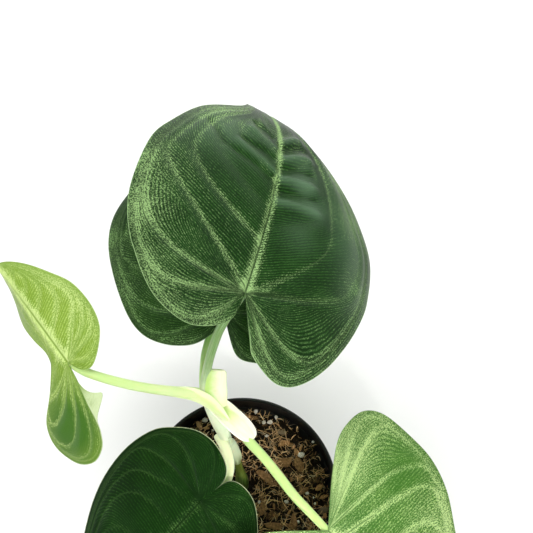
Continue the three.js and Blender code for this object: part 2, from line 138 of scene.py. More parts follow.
DARK_VEINS = [
    (0.07, 0.6, 0.3), (0.14, 0.66, 0.35, 0.035), (0.21, 0.71, 0.4, 0.04), (0.29, 0.75, 0.5, 0.045),
    (0.37, 0.79, 0.8, 0.045), (0.445, 0.88, 0.8, 0.06), (0.47, 0.92, 0.9, 0.02),
    (0.587, 0.94, 0.8, 0.027), (0.75, 0.95, 0.5, 0.025),
]
PALE_VEINS = [
    (0.06, 0.6, 0.4), (0.12, 0.66, 0.4), (0.18, 0.72, 0.5), (0.26, 0.78, 0.6), (0.34, 0.84, 0.7),
    (0.424, 0.9, 1), (0.482, 0.93, 1, 0.02), (0.611, 0.95, 0.9, 0.017), (0.69, 0.96, 0.7, 0.017),
    (0.85, 0.97, 0.4, 0.017),
]
YOUNG_VEINS = [
    [
        (0.06, 0.6, 0.5), (0.12, 0.64, 0.5), (0.18, 0.68, 0.5), (0.25, 0.72, 0.5), (0.33, 0.76, 0.5),
        (0.41, 0.8, 0.6), (0.47, 0.86, 1), (0.54, 0.9, 1), (0.61, 0.93, 1), (0.69, 0.95, 0.9),
        (0.79, 0.96, 0.7),
    ],
    [
        (0.07, 0.55, 0.5), (0.14, 0.6, 0.5), (0.21, 0.65, 0.5), (0.28, 0.7, 0.6), (0.36, 0.75, 0.7),
        (0.455, 0.84, 1, 0.02), (0.54, 0.9, 0.9), (0.63, 0.93, 0.8), (0.78, 0.95, 0.5),
    ],
]

LEAF_COMMON = {
    "sickle": (0, 2), "droop_power": 2, "fold": (6, 6), "tip_fold": (0, 0), "lobe_curl": (0, 0),
    "tip_curl": (0, 0), "across": (1, 0, 0), "quilt": 0.7, "folds": [], "lanes": [], "shade": [],
}


def leaf_values(**own):
    """One leaf's values over those that most leaves share"""
    return {**LEAF_COMMON, **own}


# Each leaf as in the solids, with what only shows here. edge is the outline of each half between
# the tip and the stalk, and stalk is x, y, z, half width, and half depth where it differs. folds
# are soft ridges or creases from one flat point to another, with height and half width, and their
# crests carry a painted grey sheen. The last three are soft round patches, as place, radius and
# strength: frost is paler or darker bloom, lanes are where the striae follow the rays, and the
# third is a painted grey sheen on the front leaf and a darker green on the young leaf.
LEAVES = {
    "leaf_front": leaf_values(
        at=(4, 58, 210), heading=73.5, pitch=6, roll=19.5, length=122, lobe=38, width=124,
        sickle=(-24, 3.3), droop=76, droop_power=2.9, lobe_droop=(40, 10), fold=(5.5, 6),
        tip_fold=(-8, 1), curl=(11, 40), lobe_curl=(10, 0), tip_curl=(24, 24), ripple=0.9, waves=3.5,
        edge=(
            [
                (10, 113), (19, 98), (40.5, 86.5), (54.5, 69), (61.5, 53), (62.5, 26.5), (55.5, 6),
                (44.5, -7), (32.5, -15), (17.5, -19), (3, -13.5),
            ],
            [
                (12, 116), (25, 101), (39, 84.5), (52, 63.5), (65, 47), (67, 26.5), (62.5, 11.5),
                (49.5, -16.5), (37, -31), (25, -34), (11.5, -26), (8, -18.5),
            ],
        ),
        stalk=[
            (-7.6, 20.5, 117, 3), (-10.6, 25.2, 127, 3.8), (-13.2, 30.2, 137, 4.2, 4),
            (-15.6, 33.8, 146, 3.4, 3.2), (-16.2, 37, 153, 2.4), (-15, 40.5, 161, 2.2),
            (-13.2, 43.4, 170, 2.1), (-11, 46.1, 179, 2.1), (-8.2, 49.3, 188, 2.1), (-3.4, 53.2, 198, 2),
        ],
        veins=FRONT_VEINS,
        folds=[
            (-1, 57, -27, 66, -1.5, 1.4), (-27, 66, -38, 80, -0.9, 1.8), (-1, 60, -24, 71, 1.0, 1.8),
            (-3, 68, -22, 74, -1.4, 1.4), (-4, 81, -15, 88, -1.1, 1.5), (-3, 74, -18, 82, 1.0, 1.8),
            (2, 46, 27, 50, 1.7, 1.9), (2, 58, 22, 63, 1.7, 1.9), (2, 70, 19, 80, 1.6, 1.8),
            (2, 81, 14, 92, 1.3, 1.8), (3, 52, 24, 57, -1.3, 1.7), (2, 64, 20, 71, -1.3, 1.7),
            (2, 76, 16, 86, -1.1, 1.7),
        ],
        frost=[
            (-30, -10, 12, 0.15), (-12, -12, 8, 0.2), (-54, 20, 12, 0.45), (-44, -2, 10, 0.25),
            (-58, 42, 13, 0.3), (-30, 84, 14, 0.25), (22, -28, 12, 0.05), (10, -18, 9, 0.15),
            (44, 92, 16, 0.2), (32, 80, 9, 0.35), (43, 58, 12, 0.35), (54, 26, 12, 0.25),
            (18, 34, 20, -0.5), (-18, 60, 20, -0.3), (10, 62, 12, -0.3), (-40, 45, 14, 0.08),
        ],
        lanes=[(48, 64, 24, 1.2), (36, 94, 20, 1), (62, 34, 18, 1)],
        # Painted grey sheen on the right plateau, the top and the right outer band of the blade
        shade=[
            (14, 57, 6, 0.4), (21, 51, 6, 0.35), (13, 68, 7, 0.35), (17, 34, 8, 0.2),
            (-22, 78, 14, 0.25), (-34, 72, 12, 0.2), (41, 58, 14, 0.4), (48, 40, 13, 0.35),
            (31, 78, 11, 0.3), (54, 22, 12, 0.25),
        ],
    ),
    "leaf_back": leaf_values(
        at=(-7, 69, 165), heading=95, pitch=4, roll=-3, length=122, lobe=30, width=124, droop=60,
        droop_power=2.4, lobe_droop=(18, 18), curl=(33, 35), ripple=0.8, waves=4,
        edge=(
            [
                (14, 115), (30, 103), (45, 88), (56, 70), (60, 50), (58, 30), (51, 9), (42, -6),
                (31, -13), (18, -15), (9, -12), (2, -6),
            ],
            [
                (14, 115), (30, 103), (45, 86), (56, 68), (59, 48), (55, 26), (46, 2), (34, -16),
                (21, -26), (11, -26), (4, -22), (1, -11),
            ],
        ),
        stalk=[
            (-16.5, 34, 140, 2.6, 2.2), (-17.6, 39.4, 147, 2.1, 1.9), (-17.6, 45.2, 151, 1.8, 1.7),
            (-16.8, 52, 154.5, 1.7), (-14.5, 59.5, 157.5, 1.7), (-11, 65, 160.5, 1.7),
        ],
        veins=[EVEN_VEINS, EVEN_VEINS], quilt=0.6,
        frost=[(-52, 20, 16, 0.3), (-58, 50, 16, 0.3), (-20, -10, 10, 0.1), (30, -12, 14, 0.1)],
        lanes=[(52, 60, 24, 1)],
    ),
    "leaf_young": leaf_values(
        at=(-79, 40, 172), heading=128, pitch=-4, roll=-6, length=80, lobe=42, width=60, droop=28,
        lobe_droop=(12, 12), fold=(-25, 8), tip_fold=(-55, 0), curl=(12, 25), lobe_curl=(10, 0),
        ripple=0.7, waves=3,
        flick=dict(side=-1, share=0.82, spread=0.03, reach=(5, 7, 2)),
        edge=(
            [
                (7, 71), (12, 57), (12, 40), (9, 24), (7, 12), (11, 1), (20, -5), (30, -13), (34, -25),
                (30, -38), (21, -44), (12, -42), (7, -36), (5, -30), (4, -23), (2, -13), (0.8, -6),
            ],
            [(6, 73), (13, 61), (19, 47), (24, 34), (25, 19), (22, 6), (15, -4), (8, -9), (3, -7)],
        ),
        stalk=[
            (-14.5, 33, 142, 4.6, 2.6), (-23, 33, 148.5, 3.6, 2.5), (-31, 32.5, 153, 2.7, 2.4),
            (-42, 32.3, 158, 2.4, 2.3), (-52, 32.8, 162.5, 2.3), (-64, 34.7, 167, 2.2),
            (-72, 37, 169.3, 2.1),
        ],
        across=(0, 1, -0.4), veins=YOUNG_VEINS,
        frost=[(12, 30, 20, 0.1), (10, 0, 12, 0.1), (-18, -28, 20, -0.3)],
        shade=[(-18, -24, 20, 1.2)],
    ),
    "leaf_dark": leaf_values(
        at=(-19, -14, 125), heading=225, pitch=-15, roll=0, length=94, lobe=26, width=100, droop=35,
        lobe_droop=(34, -8), curl=(25, 25), ripple=0.4, waves=3,
        edge=(
            [
                (10, 85), (22, 71), (34, 53), (41, 37), (44, 20), (40, 4), (31, -9), (20, -18),
                (10, -20), (3, -17), (1, -8),
            ],
            [
                (10, 85), (21, 71), (32, 55), (42, 38), (47, 23), (48, 7), (44, -7), (36, -16),
                (26, -23), (16, -25.5), (7, -24), (0.5, -20), (-2, -14), (-0.7, -5),
            ],
        ),
        stalk=[
            (-10.5, 22, 114, 3.4, 2.4), (-8, 15.5, 117.5, 2.8, 2.2), (-6, 9.4, 119, 2.6, 2.1),
            (-5.2, 3.5, 119.5, 2.5, 2.1), (-7, -3, 119, 2.3, 2), (-12.5, -8.8, 119.5, 2, 1.9),
        ],
        veins=[DARK_VEINS, DARK_VEINS], quilt=0.5,
        frost=[(40, 30, 12, 0.15), (-16, -8, 12, 0.25)],
    ),
    "leaf_pale": leaf_values(
        at=(42, -29, 135), heading=-45, pitch=-15, roll=0, length=104, lobe=30, width=128, droop=35,
        lobe_droop=(10, 14), curl=(20, 20), ripple=0.8, waves=4,
        edge=(
            [
                (12, 92), (25, 76), (37, 58), (47, 43), (57, 28), (63, 12), (63, -4), (60, -19),
                (53, -27), (42, -28), (32, -25), (20, -17), (9, -8),
            ],
            [
                (12, 92), (25, 76), (38, 59), (49, 43), (58, 28), (61, 12), (59, -4), (54, -18),
                (45, -26), (34, -27), (24, -21), (14, -13), (6, -5),
            ],
        ),
        stalk=[
            (-12.5, 29.5, 136, 3.4, 2.4), (-5, 23.5, 138.2, 3, 1.9), (1.5, 16, 139.8, 2.6, 1.8),
            (6.4, 9.6, 141.8, 2.5, 2), (12.1, 3.4, 142, 2.3, 2.2), (19.2, -5.2, 141, 2.3),
            (26.1, -13.7, 139, 2.2), (33.2, -20.6, 136.3, 2.1),
        ],
        across=(0.6, 0.6, 0.5), veins=[PALE_VEINS, PALE_VEINS],
        frost=[
            (-26, -13, 13, 0.4), (-46, -14, 12, 0.25), (-41, 32, 14, 0.3), (-46, 5, 12, -0.15),
            (30, -8, 26, 0.35), (50, 10, 20, 0.2),
        ],
    ),
}
# How a stalk thins out under the midrib: distance from its point, depth below and share of width
STALK_TAIL = [(1.5, 2.3, 0.85), (8, 1.7, 0.6), (18, 1.2, 0.4)]

# Stem, new spear and old sheath as in the solids: x, y, z, half width, and half depth where it
# differs
STEM = [
    (0.6, 4.5, 58, 3), (0.6, 4.5, 70, 3), (0.6, 4.6, 80, 3), (0.1, 6.5, 85.5, 3.5),
    (-1.1, 10.5, 91, 2.2), (-3, 15, 101, 2.1), (-4.8, 17.6, 108, 2.6), (-7.4, 20.5, 116, 2.2),
    (-10.6, 25.2, 127, 2.4), (-13.2, 30.2, 137, 2.2), (-14.6, 32.2, 142, 1.4),
]
SPEAR = [
    (-10.4, 29.2, 142, 4.6, 2.6), (-11.4, 33.2, 148, 5.8, 2.9), (-11.4, 37.2, 155.4, 5.6, 2.4),
    (-10.8, 39.6, 160.8, 5.1, 1.5), (-10.7, 40.2, 162, 4.2, 0.7),
]
OLD_SHEATH = [
    (-2, 12.4, 97.5, 1.8, 1.6), (-3.2, 14.4, 102.5, 3.3, 3.1), (-4.7, 16.6, 108.5, 3.8, 3.5),
    (-6, 18.8, 113, 3.2, 3),
]

# Sheaths that clasp the stem: open gutters through x, y, z, half width, depth and the height of
# the rims over the line, with the direction that the width is measured in, the colours of the
# middle and of the rims, and how far along it the middle turns pale too
SHEATHS = {
    "leaf_pale": {
        "across": (0.62, 0.72, 0.3), "middle": "cfe690", "rim": "f8f6e4", "shade_from": 11,
        "stations": [
            (-16.5, 34.5, 140.5, 1.6, 1.4, 0.9), (-12.6, 31, 141, 3.8, 2.6, 1.6),
            (-7.6, 26.8, 142.2, 5, 3, 1.9), (-2.6, 21.8, 143.4, 5.3, 3, 1.9),
            (2, 17.2, 144, 5.2, 2.6, 1.5), (5, 14, 144.2, 4.4, 1.9, 0.9),
            (6.6, 12.2, 143.8, 2.6, 1.1, 0.4), (7, 11.8, 143.6, 1, 0.5, 0.1),
        ],
    },
    "leaf_young": {
        "across": (0.3, 1, 0.2), "middle": "d6eea0", "rim": "eaf6c4", "shade_from": 90,
        "stations": [
            (-36, 32.4, 154.4, 1.5, 1.6, 0.1), (-29, 32.2, 152.6, 2.6, 2.2, 0.5),
            (-23, 31.8, 151.4, 3, 2.4, 0.9), (-18, 30.2, 150.6, 3.1, 2.4, 1),
            (-13.4, 27.8, 148.6, 3, 2.2, 0.9), (-10, 25.4, 146, 2.5, 1.7, 0.6),
            (-7, 23.2, 143, 1.6, 1.1, 0.3), (-5, 21.6, 141.4, 0.8, 0.6, 0.1),
        ],
    },
}
# Dark scar on the stem
EYELET = (-10.6, 19.9, 121)
OLD_LOOPS = [
    [
        (-4.6, 15.6, 106.5, 0.5, 0.4), (-6.6, 15, 109, 1.5, 0.5), (-7.4, 16.8, 113.5, 1.8, 0.5),
        (-6, 19.2, 118, 1.5, 0.5), (-4.6, 19.6, 120.5, 0.5, 0.3),
    ],
    [
        (-2.2, 12.8, 98.6, 0.5, 0.4), (-1, 13, 101, 1.3, 0.5), (-1.2, 14.6, 105.5, 1.5, 0.5),
        (-2.4, 16.6, 109.6, 1.2, 0.5), (-3.6, 17.6, 111.5, 0.5, 0.3),
    ],
]

# Colours of each leaf's blade and stalk, and how strongly its marks show. The front leaf's grey green is
# the colour of a painted sheen.
LEAF_LOOKS = {
    "leaf_front": dict(
        deep="0f2b09", green="254a1a", shade="5c7a5c", frost="98bb78", under="6f9560",
        edge="a8cc8c", root="e4eecc", tip="648f44", bloom=0.0, margin=0.25, veins=0.85,
        strands=0.4, flecks=0.58, threads=0.1, lip=0.6, gloss=0.3,
    ),
    "leaf_back": dict(
        deep="0d2805", green="1f400c", shade="1d4210", frost="86ac6a", under="6b9159",
        edge="9dbd86", root="b8d68c", tip="6f9f4c", bloom=-0.09, margin=0.4, veins=0.45,
        strands=0.38, flecks=0.55, threads=0.1, lip=0.5, gloss=0.3,
    ),
    "leaf_young": dict(
        deep="6f9028", green="8ba63e", shade="3b6614", frost="c6da8a", under="9dbb6c",
        edge="e2eec2", root="dcecae", tip="c2e08e", bloom=0.0, margin=0.15, veins=0.9,
        strands=0.3, flecks=0.6, threads=0.2, lip=0.6, gloss=0.35,
    ),
    "leaf_dark": dict(
        deep="082503", green="143609", shade="0c2c04", frost="5c8442", under="4d7840",
        edge="d7e0b4", root="fbffd0", tip="f2fac0", bloom=-0.06, margin=0.0, veins=0.38,
        strands=0.3, flecks=0.5, threads=0.16, lip=0.8, gloss=0.18,
    ),
    "leaf_pale": dict(
        deep="336219", green="4d792b", shade="3c6c26", frost="b6cf8a", under="9cc487",
        edge="5b7d33", root="bcd98a", tip="bcd886", bloom=0.12, margin=0.35, veins=0.85,
        strands=0.24, flecks=0.7, threads=0.1, lip=0.6, gloss=0.3,
    ),
}
# How deep light goes under living skin
SKIN_DEPTH = 2


def smooth(value):
    share = np.clip(value, 0, 1)
    return share * share * (3 - 2 * share)


def bell(distance, width):
    """Soft peak that is 1 at no distance and next to nothing two widths off"""
    return np.exp(-(distance / width) ** 2)


def unit(vectors):
    return vectors / np.maximum(np.linalg.norm(vectors, axis=-1, keepdims=True), 1e-9)


def running(steps):
    """Running total of steps, from zero"""
    return np.concatenate([[0], np.cumsum(steps)])


def triples(*columns):
    """Three values of any matching shapes as rows of three"""
    return np.stack(np.broadcast_arrays(*columns), -1).reshape(-1, 3)


def around(count):
    """Even turns about an axis"""
    return np.linspace(0, 2 * math.pi, count, endpoint=False)


def linear(colour):
    """Red, green and blue of a hex colour, in linear light"""
    parts = [int(colour[i:i + 2], 16) / 255 for i in (0, 2, 4)]
    return tuple(c / 12.92 if c < 0.04045 else ((c + 0.055) / 1.055) ** 2.4 for c in parts)


def hermite(here, there, leave, arrive, part):
    """Cubic from here to there with its slopes at both ends, at parts of the way"""
    return (
        (2 * here - 2 * there + leave + arrive) * part ** 3
        + (3 * there - 3 * here - 2 * leave - arrive) * part ** 2 + leave * part + here
    )


def mean_curve(points, shares):
    """Points on the even smooth curve through points, at shares of its length"""
    points = np.asarray(points, float)
    last = len(points) - 1
    place = np.clip(shares, 0, 1) * last
    index = np.minimum(place.astype(int), last - 1)
    before, here = points[np.maximum(index - 1, 0)], points[index]
    there, after = points[index + 1], points[np.minimum(index + 2, last)]
    return hermite(here, there, (there - before) / 2, (after - here) / 2, (place - index)[..., None])


def path_curve(points, shares):
    """Points on the curve through 3-D points that keeps to its corners, at shares of its length"""
    points = np.vstack([2 * points[0] - points[1], points, 2 * points[-1] - points[-2]])
    spans = len(points) - 3
    place = np.clip(shares, 0, 1) * spans
    index = np.minimum(place.astype(int), spans - 1)
    a, b, c, d = (points[index + i] for i in range(4))
    gap_a, gap_b, gap_c = (
        np.sqrt(np.linalg.norm(q - p, axis=1))[:, None] for p, q in ((a, b), (b, c), (c, d))
    )
    leave = ((b - a) / gap_a - (c - a) / (gap_a + gap_b) + (c - b) / gap_b) * gap_b
    arrive = ((c - b) / gap_b - (d - b) / (gap_b + gap_c) + (d - c) / gap_c) * gap_b
    return hermite(b, c, leave, arrive, (place - index)[:, None])


def grid_faces(rows, columns, flip=False, closed=False):
    """Triangles of a grid of points laid out row by row"""
    index = np.arange(rows * columns).reshape(rows, columns)
    if closed:
        index = np.hstack([index, index[:, :1]])
    a, b = index[:-1, :-1].ravel(), index[1:, :-1].ravel()
    c, d = index[1:, 1:].ravel(), index[:-1, 1:].ravel()
    faces = np.vstack([np.column_stack([a, b, c]), np.column_stack([a, c, d])])
    return faces[:, ::-1] if flip else faces


def weld(points, faces, fields):
    """Shared points merged into one, and the faces that this collapses dropped"""
    _, first, merged = np.unique(
        np.round(points, 4), axis=0, return_index=True, return_inverse=True
    )
    faces = merged.reshape(-1)[faces]
    kept = (faces != np.roll(faces, 1, axis=1)).all(axis=1)
    return points[first], faces[kept], {name: values[first] for name, values in fields.items()}


def add_object(name, data):
    made = bpy.data.objects.new(name, data)
    bpy.context.scene.collection.objects.link(made)
    return made


def add_piece(name, shape, material, node, slot=None, flat=False):
    """One mesh piece in place of a node, from points in millimetres, faces, and fields: vectors
    that its material reads. Its slot argument is not used."""
    points, faces, fields = weld(*shape)
    slot = slot or node
    mesh = bpy.data.meshes.new(name)
    mesh.from_pydata((points * MM).tolist(), [], faces.tolist())
    for field, values in fields.items():
        attribute = mesh.attributes.new(field, "FLOAT_VECTOR", "POINT")
        attribute.data.foreach_set("vector", values.astype(np.float32).ravel())
    mesh.polygons.foreach_set("use_smooth", [not flat] * len(mesh.polygons))
    mesh.materials.append(material)
    piece = add_object(name, mesh)
    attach(piece, BODY)
    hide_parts(node)
    return piece


def join_parts(parts):
    """Several lists of points and faces as one, with a field that holds each part's own draw"""
    points, faces, tints = [], [], []
    start = 0
    for part_points, part_faces, tint in parts:
        points.append(part_points)
        faces.append(part_faces + start)
        tints.append(np.tile(tint, (len(part_points), 1)))
        start += len(part_points)
    return np.vstack(points), np.vstack(faces), {"tint": np.vstack(tints)}


class Value:
    """A node's output. Plus, minus, times and over make math nodes."""

    def __init__(self, shader, socket):
        self.shader = shader
        self.socket = socket

    def __add__(self, other):
        return self.shader.math("ADD", self, other)

    def __sub__(self, other):
        return self.shader.math("SUBTRACT", self, other)

    def __mul__(self, other):
        return self.shader.math("MULTIPLY", self, other)

    def __truediv__(self, other):
        return self.shader.math("DIVIDE", self, other)

    def ramp(self, low, high, to_low=0.0, to_high=1.0):
        """Smooth step from low to high"""
        ends = {"From Min": low, "From Max": high, "To Min": to_low, "To Max": to_high}
        return self.shader.node(
            "MapRange", {"Value": self, **ends}, interpolation_type="SMOOTHSTEP"
        )


class Shader:
    """A principled material, with short calls for the nodes that the materials share"""

    def __init__(self, name):
        self.material = bpy.data.materials.new(name)
        self.material.use_nodes = True
        self.tree = self.material.node_tree
        self.shader = self.tree.nodes["Principled BSDF"]

    def node(self, kind, inputs, output=0, **settings):
        """An output of a new node, whose inputs take numbers, hex colours or other outputs"""
        made = self.tree.nodes.new("ShaderNode" + kind)
        for key, value in settings.items():
            setattr(made, key, value)
        self.feed(made, inputs)
        return Value(self, made.outputs[output])

    def feed(self, node, inputs):
        for name, value in inputs.items():
            if isinstance(value, Value):
                self.tree.links.new(value.socket, node.inputs[name])
            elif isinstance(value, str):
                node.inputs[name].default_value = (*linear(value), 1)
            else:
                node.inputs[name].default_value = value

    def math(self, operation, first, second=0.0):
        return self.node("Math", {0: first, 1: second}, operation=operation)

    def mix(self, factor, first, second):
        return self.node("Mix", {0: factor, 6: first, 7: second}, 2, data_type="RGBA")

    def mix_value(self, factor, first, second):
        return self.node("Mix", {0: factor, 2: first, 3: second}, data_type="FLOAT")

    def noise(self, place, scale, detail=3, roughness=0.55):
        inputs = {"Vector": place, "Scale": scale, "Detail": detail, "Roughness": roughness}
        return self.node("TexNoise", inputs, "Fac")

    def streaks(self, along, across):
        """Noise drawn out along one of two measures"""
        return self.noise(self.join(along, across), 1.0)

    def field(self, name):
        return self.node("Attribute", {}, "Vector", attribute_name=name)

    def split(self, vector):
        made = self.node("SeparateXYZ", {0: vector})
        return [Value(self, part) for part in made.socket.node.outputs[:3]]

    def parts(self, name):
        return self.split(self.field(name))

    def join(self, x, y):
        return self.node("CombineXYZ", {0: x, 1: y})

    def place(self):
        """Position on the piece, in millimetres"""
        where = self.node("TexCoord", {}, "Object")
        return self.node("VectorMath", {0: where, "Scale": 1 / MM}, operation="SCALE")

    def finish(self, colour, roughness, bump=None, gloss=0.5, inner=0.0):
        """The finished material. bump is a height, millimetres for one of it and a strength, and
        inner is the share of light that goes in under the skin."""
        inputs = {"Base Color": colour, "Roughness": roughness, "Specular IOR Level": gloss}
        if inner:
            inputs.update({"Subsurface Weight": inner, "Subsurface Scale": SKIN_DEPTH * MM})
        if bump:
            height, distance, strength = bump
            relief = {"Height": height, "Distance": distance * MM, "Strength": strength}
            inputs["Normal"] = self.node("Bump", relief)
        self.feed(self.shader, inputs)
        return self.material


def midrib(leaf, side, along):
    """Run, rise and slope of a leaf's midrib at distances along it, on one side of the blade"""
    reach = np.linspace(-1.3 * leaf["lobe"], 1.2 * leaf["length"], 801)
    ahead = np.clip(reach / leaf["length"], 0, 1.2)
    behind = np.clip(-reach / leaf["lobe"], 0, 1.3)
    lobe_droop = leaf["lobe_droop"][0 if side < 0 else 1]
    slope = np.radians(
        leaf["pitch"] - leaf["droop"] * ahead ** leaf["droop_power"] + lobe_droop * behind
    )
    step = reach[1] - reach[0]
    found = []
    for part in (np.cos(slope), np.sin(slope)):
        total = running((part[1:] + part[:-1]) / 2 * step)
        found.append(np.interp(along, reach, total - np.interp(0, reach, total)))
    return (*found, np.interp(along, reach, slope))


def rotate(x, y, degrees):
    cosine, sine = math.cos(math.radians(degrees)), math.sin(math.radians(degrees))
    return x * cosine - y * sine, x * sine + y * cosine


def blade_point(leaf, side, out, along):
    """Where points of the flat leaf lie. side is -1 on the left half and 1 on the right."""
    half = 0 if side < 0 else 1
    behind = smooth(-along / leaf["lobe"])
    ahead = smooth(along / leaf["length"])
    fold = np.radians(leaf["fold"][half] + leaf["tip_fold"][half] * ahead)
    curl = leaf["curl"][half] + leaf["lobe_curl"][half] * behind + leaf["tip_curl"][half] * ahead
    bend = np.radians(curl) / (leaf["width"] / 2)
    arc_out = side * (np.sin(fold) - np.sin(fold - bend * out)) / bend
    arc_up = (np.cos(fold - bend * out) - np.cos(fold)) / bend
    sideways, upward = rotate(arc_out, arc_up, -leaf["roll"])
    run, rise, slope = midrib(leaf, side, along)
    sweep, power = leaf["sickle"]
    sway = sweep * leaf["length"] * (np.maximum(along, 0) / leaf["length"]) ** power / 100
    x, y = rotate(sideways + sway, run - upward * np.sin(slope), leaf["heading"] - 90)
    return np.stack([x, y, rise + upward * np.cos(slope)], -1) + leaf["at"]


def blade_normal(leaf, side, out, along):
    """Upward normals of the blade, the mean of both halves on the midrib itself"""
    step = 0.2

    def one_half(half):
        here = blade_point(leaf, half, out, along)
        outward = blade_point(leaf, half, out + step, along) - here
        forward = blade_point(leaf, half, out, along + step) - here
        return unit(np.cross(outward, forward)) * half

    own, other = one_half(side), one_half(-side)
    return unit(np.where((out == 0)[..., None], own + other, own))


def vein_rank(veins, share, stop):
    """Which side vein a point lies on, from the tip back, and the parts of the way between them"""
    roots = [vein[0] for vein in veins]
    count = len(veins)
    near_stalk = smooth((SPINE_SHARE - share) / (SPINE_SHARE - 0.36))
    lane = share - LATERAL_SHEAR * stop * near_stalk
    at_midrib = np.interp(lane, [-0.1, *roots, 1.2], range(-1, count + 1))
    rank = np.zeros_like(lane)
    inner = np.zeros_like(lane)
    for number in range(count + 1):
        outer = np.ones_like(lane)
        if number < count:
            root, settle, _, turn = (*veins[number], VEIN_TURN)[:4]
            outer = settle * (1 - np.exp(-np.maximum(root - lane, 0) / turn))
        low = np.maximum(at_midrib, number - 1)
        part = np.clip((stop - inner) / np.maximum(outer - inner, 1e-6), 0, 1)
        inside = (stop >= inner) & ((stop < outer) | (number == count))
        rank = np.where(inside, low + (number - low) * part, rank)
        inner = np.maximum(inner, outer)
    return rank


def rank_step(rank, flat):
    """Millimetres across the leaf for one step of rank"""
    ray_x, stop_x = np.gradient(flat[..., 0])
    ray_y, stop_y = np.gradient(flat[..., 1])
    ray_rank, stop_rank = np.gradient(rank)
    area = ray_x * stop_y - ray_y * stop_x
    area = np.where(np.abs(area) < 1e-6, 1e-6, area)
    slope_x = (ray_rank * stop_y - stop_rank * ray_y) / area
    slope_y = (ray_x * stop_rank - stop_x * ray_rank) / area
    return np.clip(1 / np.maximum(np.hypot(slope_x, slope_y), 1e-3), 0, 40)


def stria_count(rank, step, reach, count):
    """Where each vein lies in a count of fine striae, so that they are alike in width"""
    totals = [0]
    for number in range(-1, count):
        between = (rank > number) & (rank < number + 1) & (reach > 12)
        width = np.median(step[between]) if between.any() else 8
        totals.append(totals[-1] + max(2, round(width / STRIA_SPACING)))
    return np.interp(rank, range(-1, count + 1), totals)


def patches(flat, places):
    """Sum of soft round patches: place on the flat leaf, radius and strength"""
    total = np.zeros(flat.shape[:-1])
    for x, y, radius, strength in places:
        total += strength * bell(np.hypot(flat[..., 0] - x, flat[..., 1] - y), radius)
    return total


def creases(flat, rim, folds):
    """Height of soft folds along straight lines, which die out at their far ends and the rim"""
    total = np.zeros_like(rim)
    for x, y, end_x, end_y, height, width in folds:
        line = np.array([end_x - x, end_y - y])
        part = np.clip(((flat - (x, y)) @ line) / (line @ line), 0, 1)
        away = np.linalg.norm(flat - ((x, y) + part[..., None] * line), axis=-1)
        total += height * (bell(away, width) * smooth((1 - part) * 4) * smooth(rim / 8))
    return total


def blade_half(name, side):
    """Points and fields of the top and then of the underside of one half of a blade"""
    leaf = LEAVES[name]
    half = 0 if side < 0 else 1
    edge = [(0, leaf["length"]), *leaf["edge"][half], (0, 0)]
    veins = leaf["veins"][half]
    even = np.linspace(0, 1, STOPS + 1)
    crowded = even - STOP_CROWDING * np.sin(2 * math.pi * even) / (2 * math.pi)
    share, stop = np.broadcast_arrays(np.linspace(0, 1, RAYS + 1)[:, None], crowded)
    spine = leaf["length"] * np.maximum(0, 1 - share / SPINE_SHARE)
    end = mean_curve(edge, share)
    out = end[..., 0] * stop
    along = spine + (end[..., 1] - spine) * stop
    flat = np.stack([side * out, along], -1)

    reach = np.hypot(out, along - spine)
    mid = np.hypot(out, np.minimum(along, 0))
    rim_line = mean_curve(edge, np.linspace(0, 1, RIM_SAMPLES)) * (side, 1)
    rim = np.min(np.linalg.norm(flat[:, :, None] - rim_line, axis=-1), axis=-1)
    rank = vein_rank(veins, share, stop)
    step = rank_step(rank, flat)
    nearest = np.clip(np.round(rank).astype(int), 0, len(veins) - 1)
    bold = np.array([vein[2] for vein in veins])[nearest]

    quilt = leaf["quilt"] * (0.5 - 0.5 * np.cos(2 * math.pi * rank)) ** QUILT_FULLNESS
    for distance, fade in zip((mid, rim, step), QUILT_FADES):
        quilt = quilt * smooth(distance / fade)
    crest = creases(flat, rim, leaf["folds"])
    wave = leaf["ripple"] * stop ** 3 * np.sin(math.pi * share)
    height = quilt + crest + wave * np.sin(2 * math.pi * leaf["waves"] * share + side)
    root = smooth((leaf["length"] - spine) / leaf["length"] * 1.6)
    bank, groove, rib = (
        high * bell(mid - place, width) for place, width, high in MIDRIB_PEAKS
    )
    rib = rib * smooth(spine / leaf["length"] * 2)

    normal = blade_normal(leaf, side, out, along)
    middle = blade_point(leaf, side, out, along)
    flick = leaf.get("flick")
    if flick and flick["side"] == side:
        lift = stop ** 4 * bell(share - flick["share"], flick["spread"])
        middle = middle + lift[..., None] * flick["reach"]
    thick = EDGE_THICKNESS + (BLADE_THICKNESS - EDGE_THICKNESS) * smooth(rim / EDGE_TAPER)
    top = middle + normal * (height + thick / 2 + root * (bank + groove))[..., None]
    under = middle + normal * (height - thick / 2 - rib)[..., None]

    lanes = (share - LATERAL_SHEAR * stop) * leaf["length"] / SPINE_SHARE / STRIA_SPACING
    along_rays = np.clip(patches(flat, leaf["lanes"]), 0, 1)
    in_lobe = smooth((share - 0.4) / 0.1)
    # Painted grey sheen on the patches and fold crests of the front leaf, and a darker green patch on
    # the young leaf
    shade = np.clip(patches(flat, leaf["shade"]) + PAINTED_CREST_SHEEN * crest, 0, 1)
    fields = {
        "veins": triples(rank, stria_count(rank, step, reach, len(veins)), step),
        "place": triples(reach, rim, mid), "flat": triples(flat[..., 0], along, lanes),
        "weave": triples(along_rays, in_lobe, shade),
    }
    return [
        (sheet.reshape(-1, 3), {**fields, "look": triples(patches(flat, leaf["frost"]), bold, below)})
        for sheet, below in ((top, 0.0), (under, 1.0))
    ]


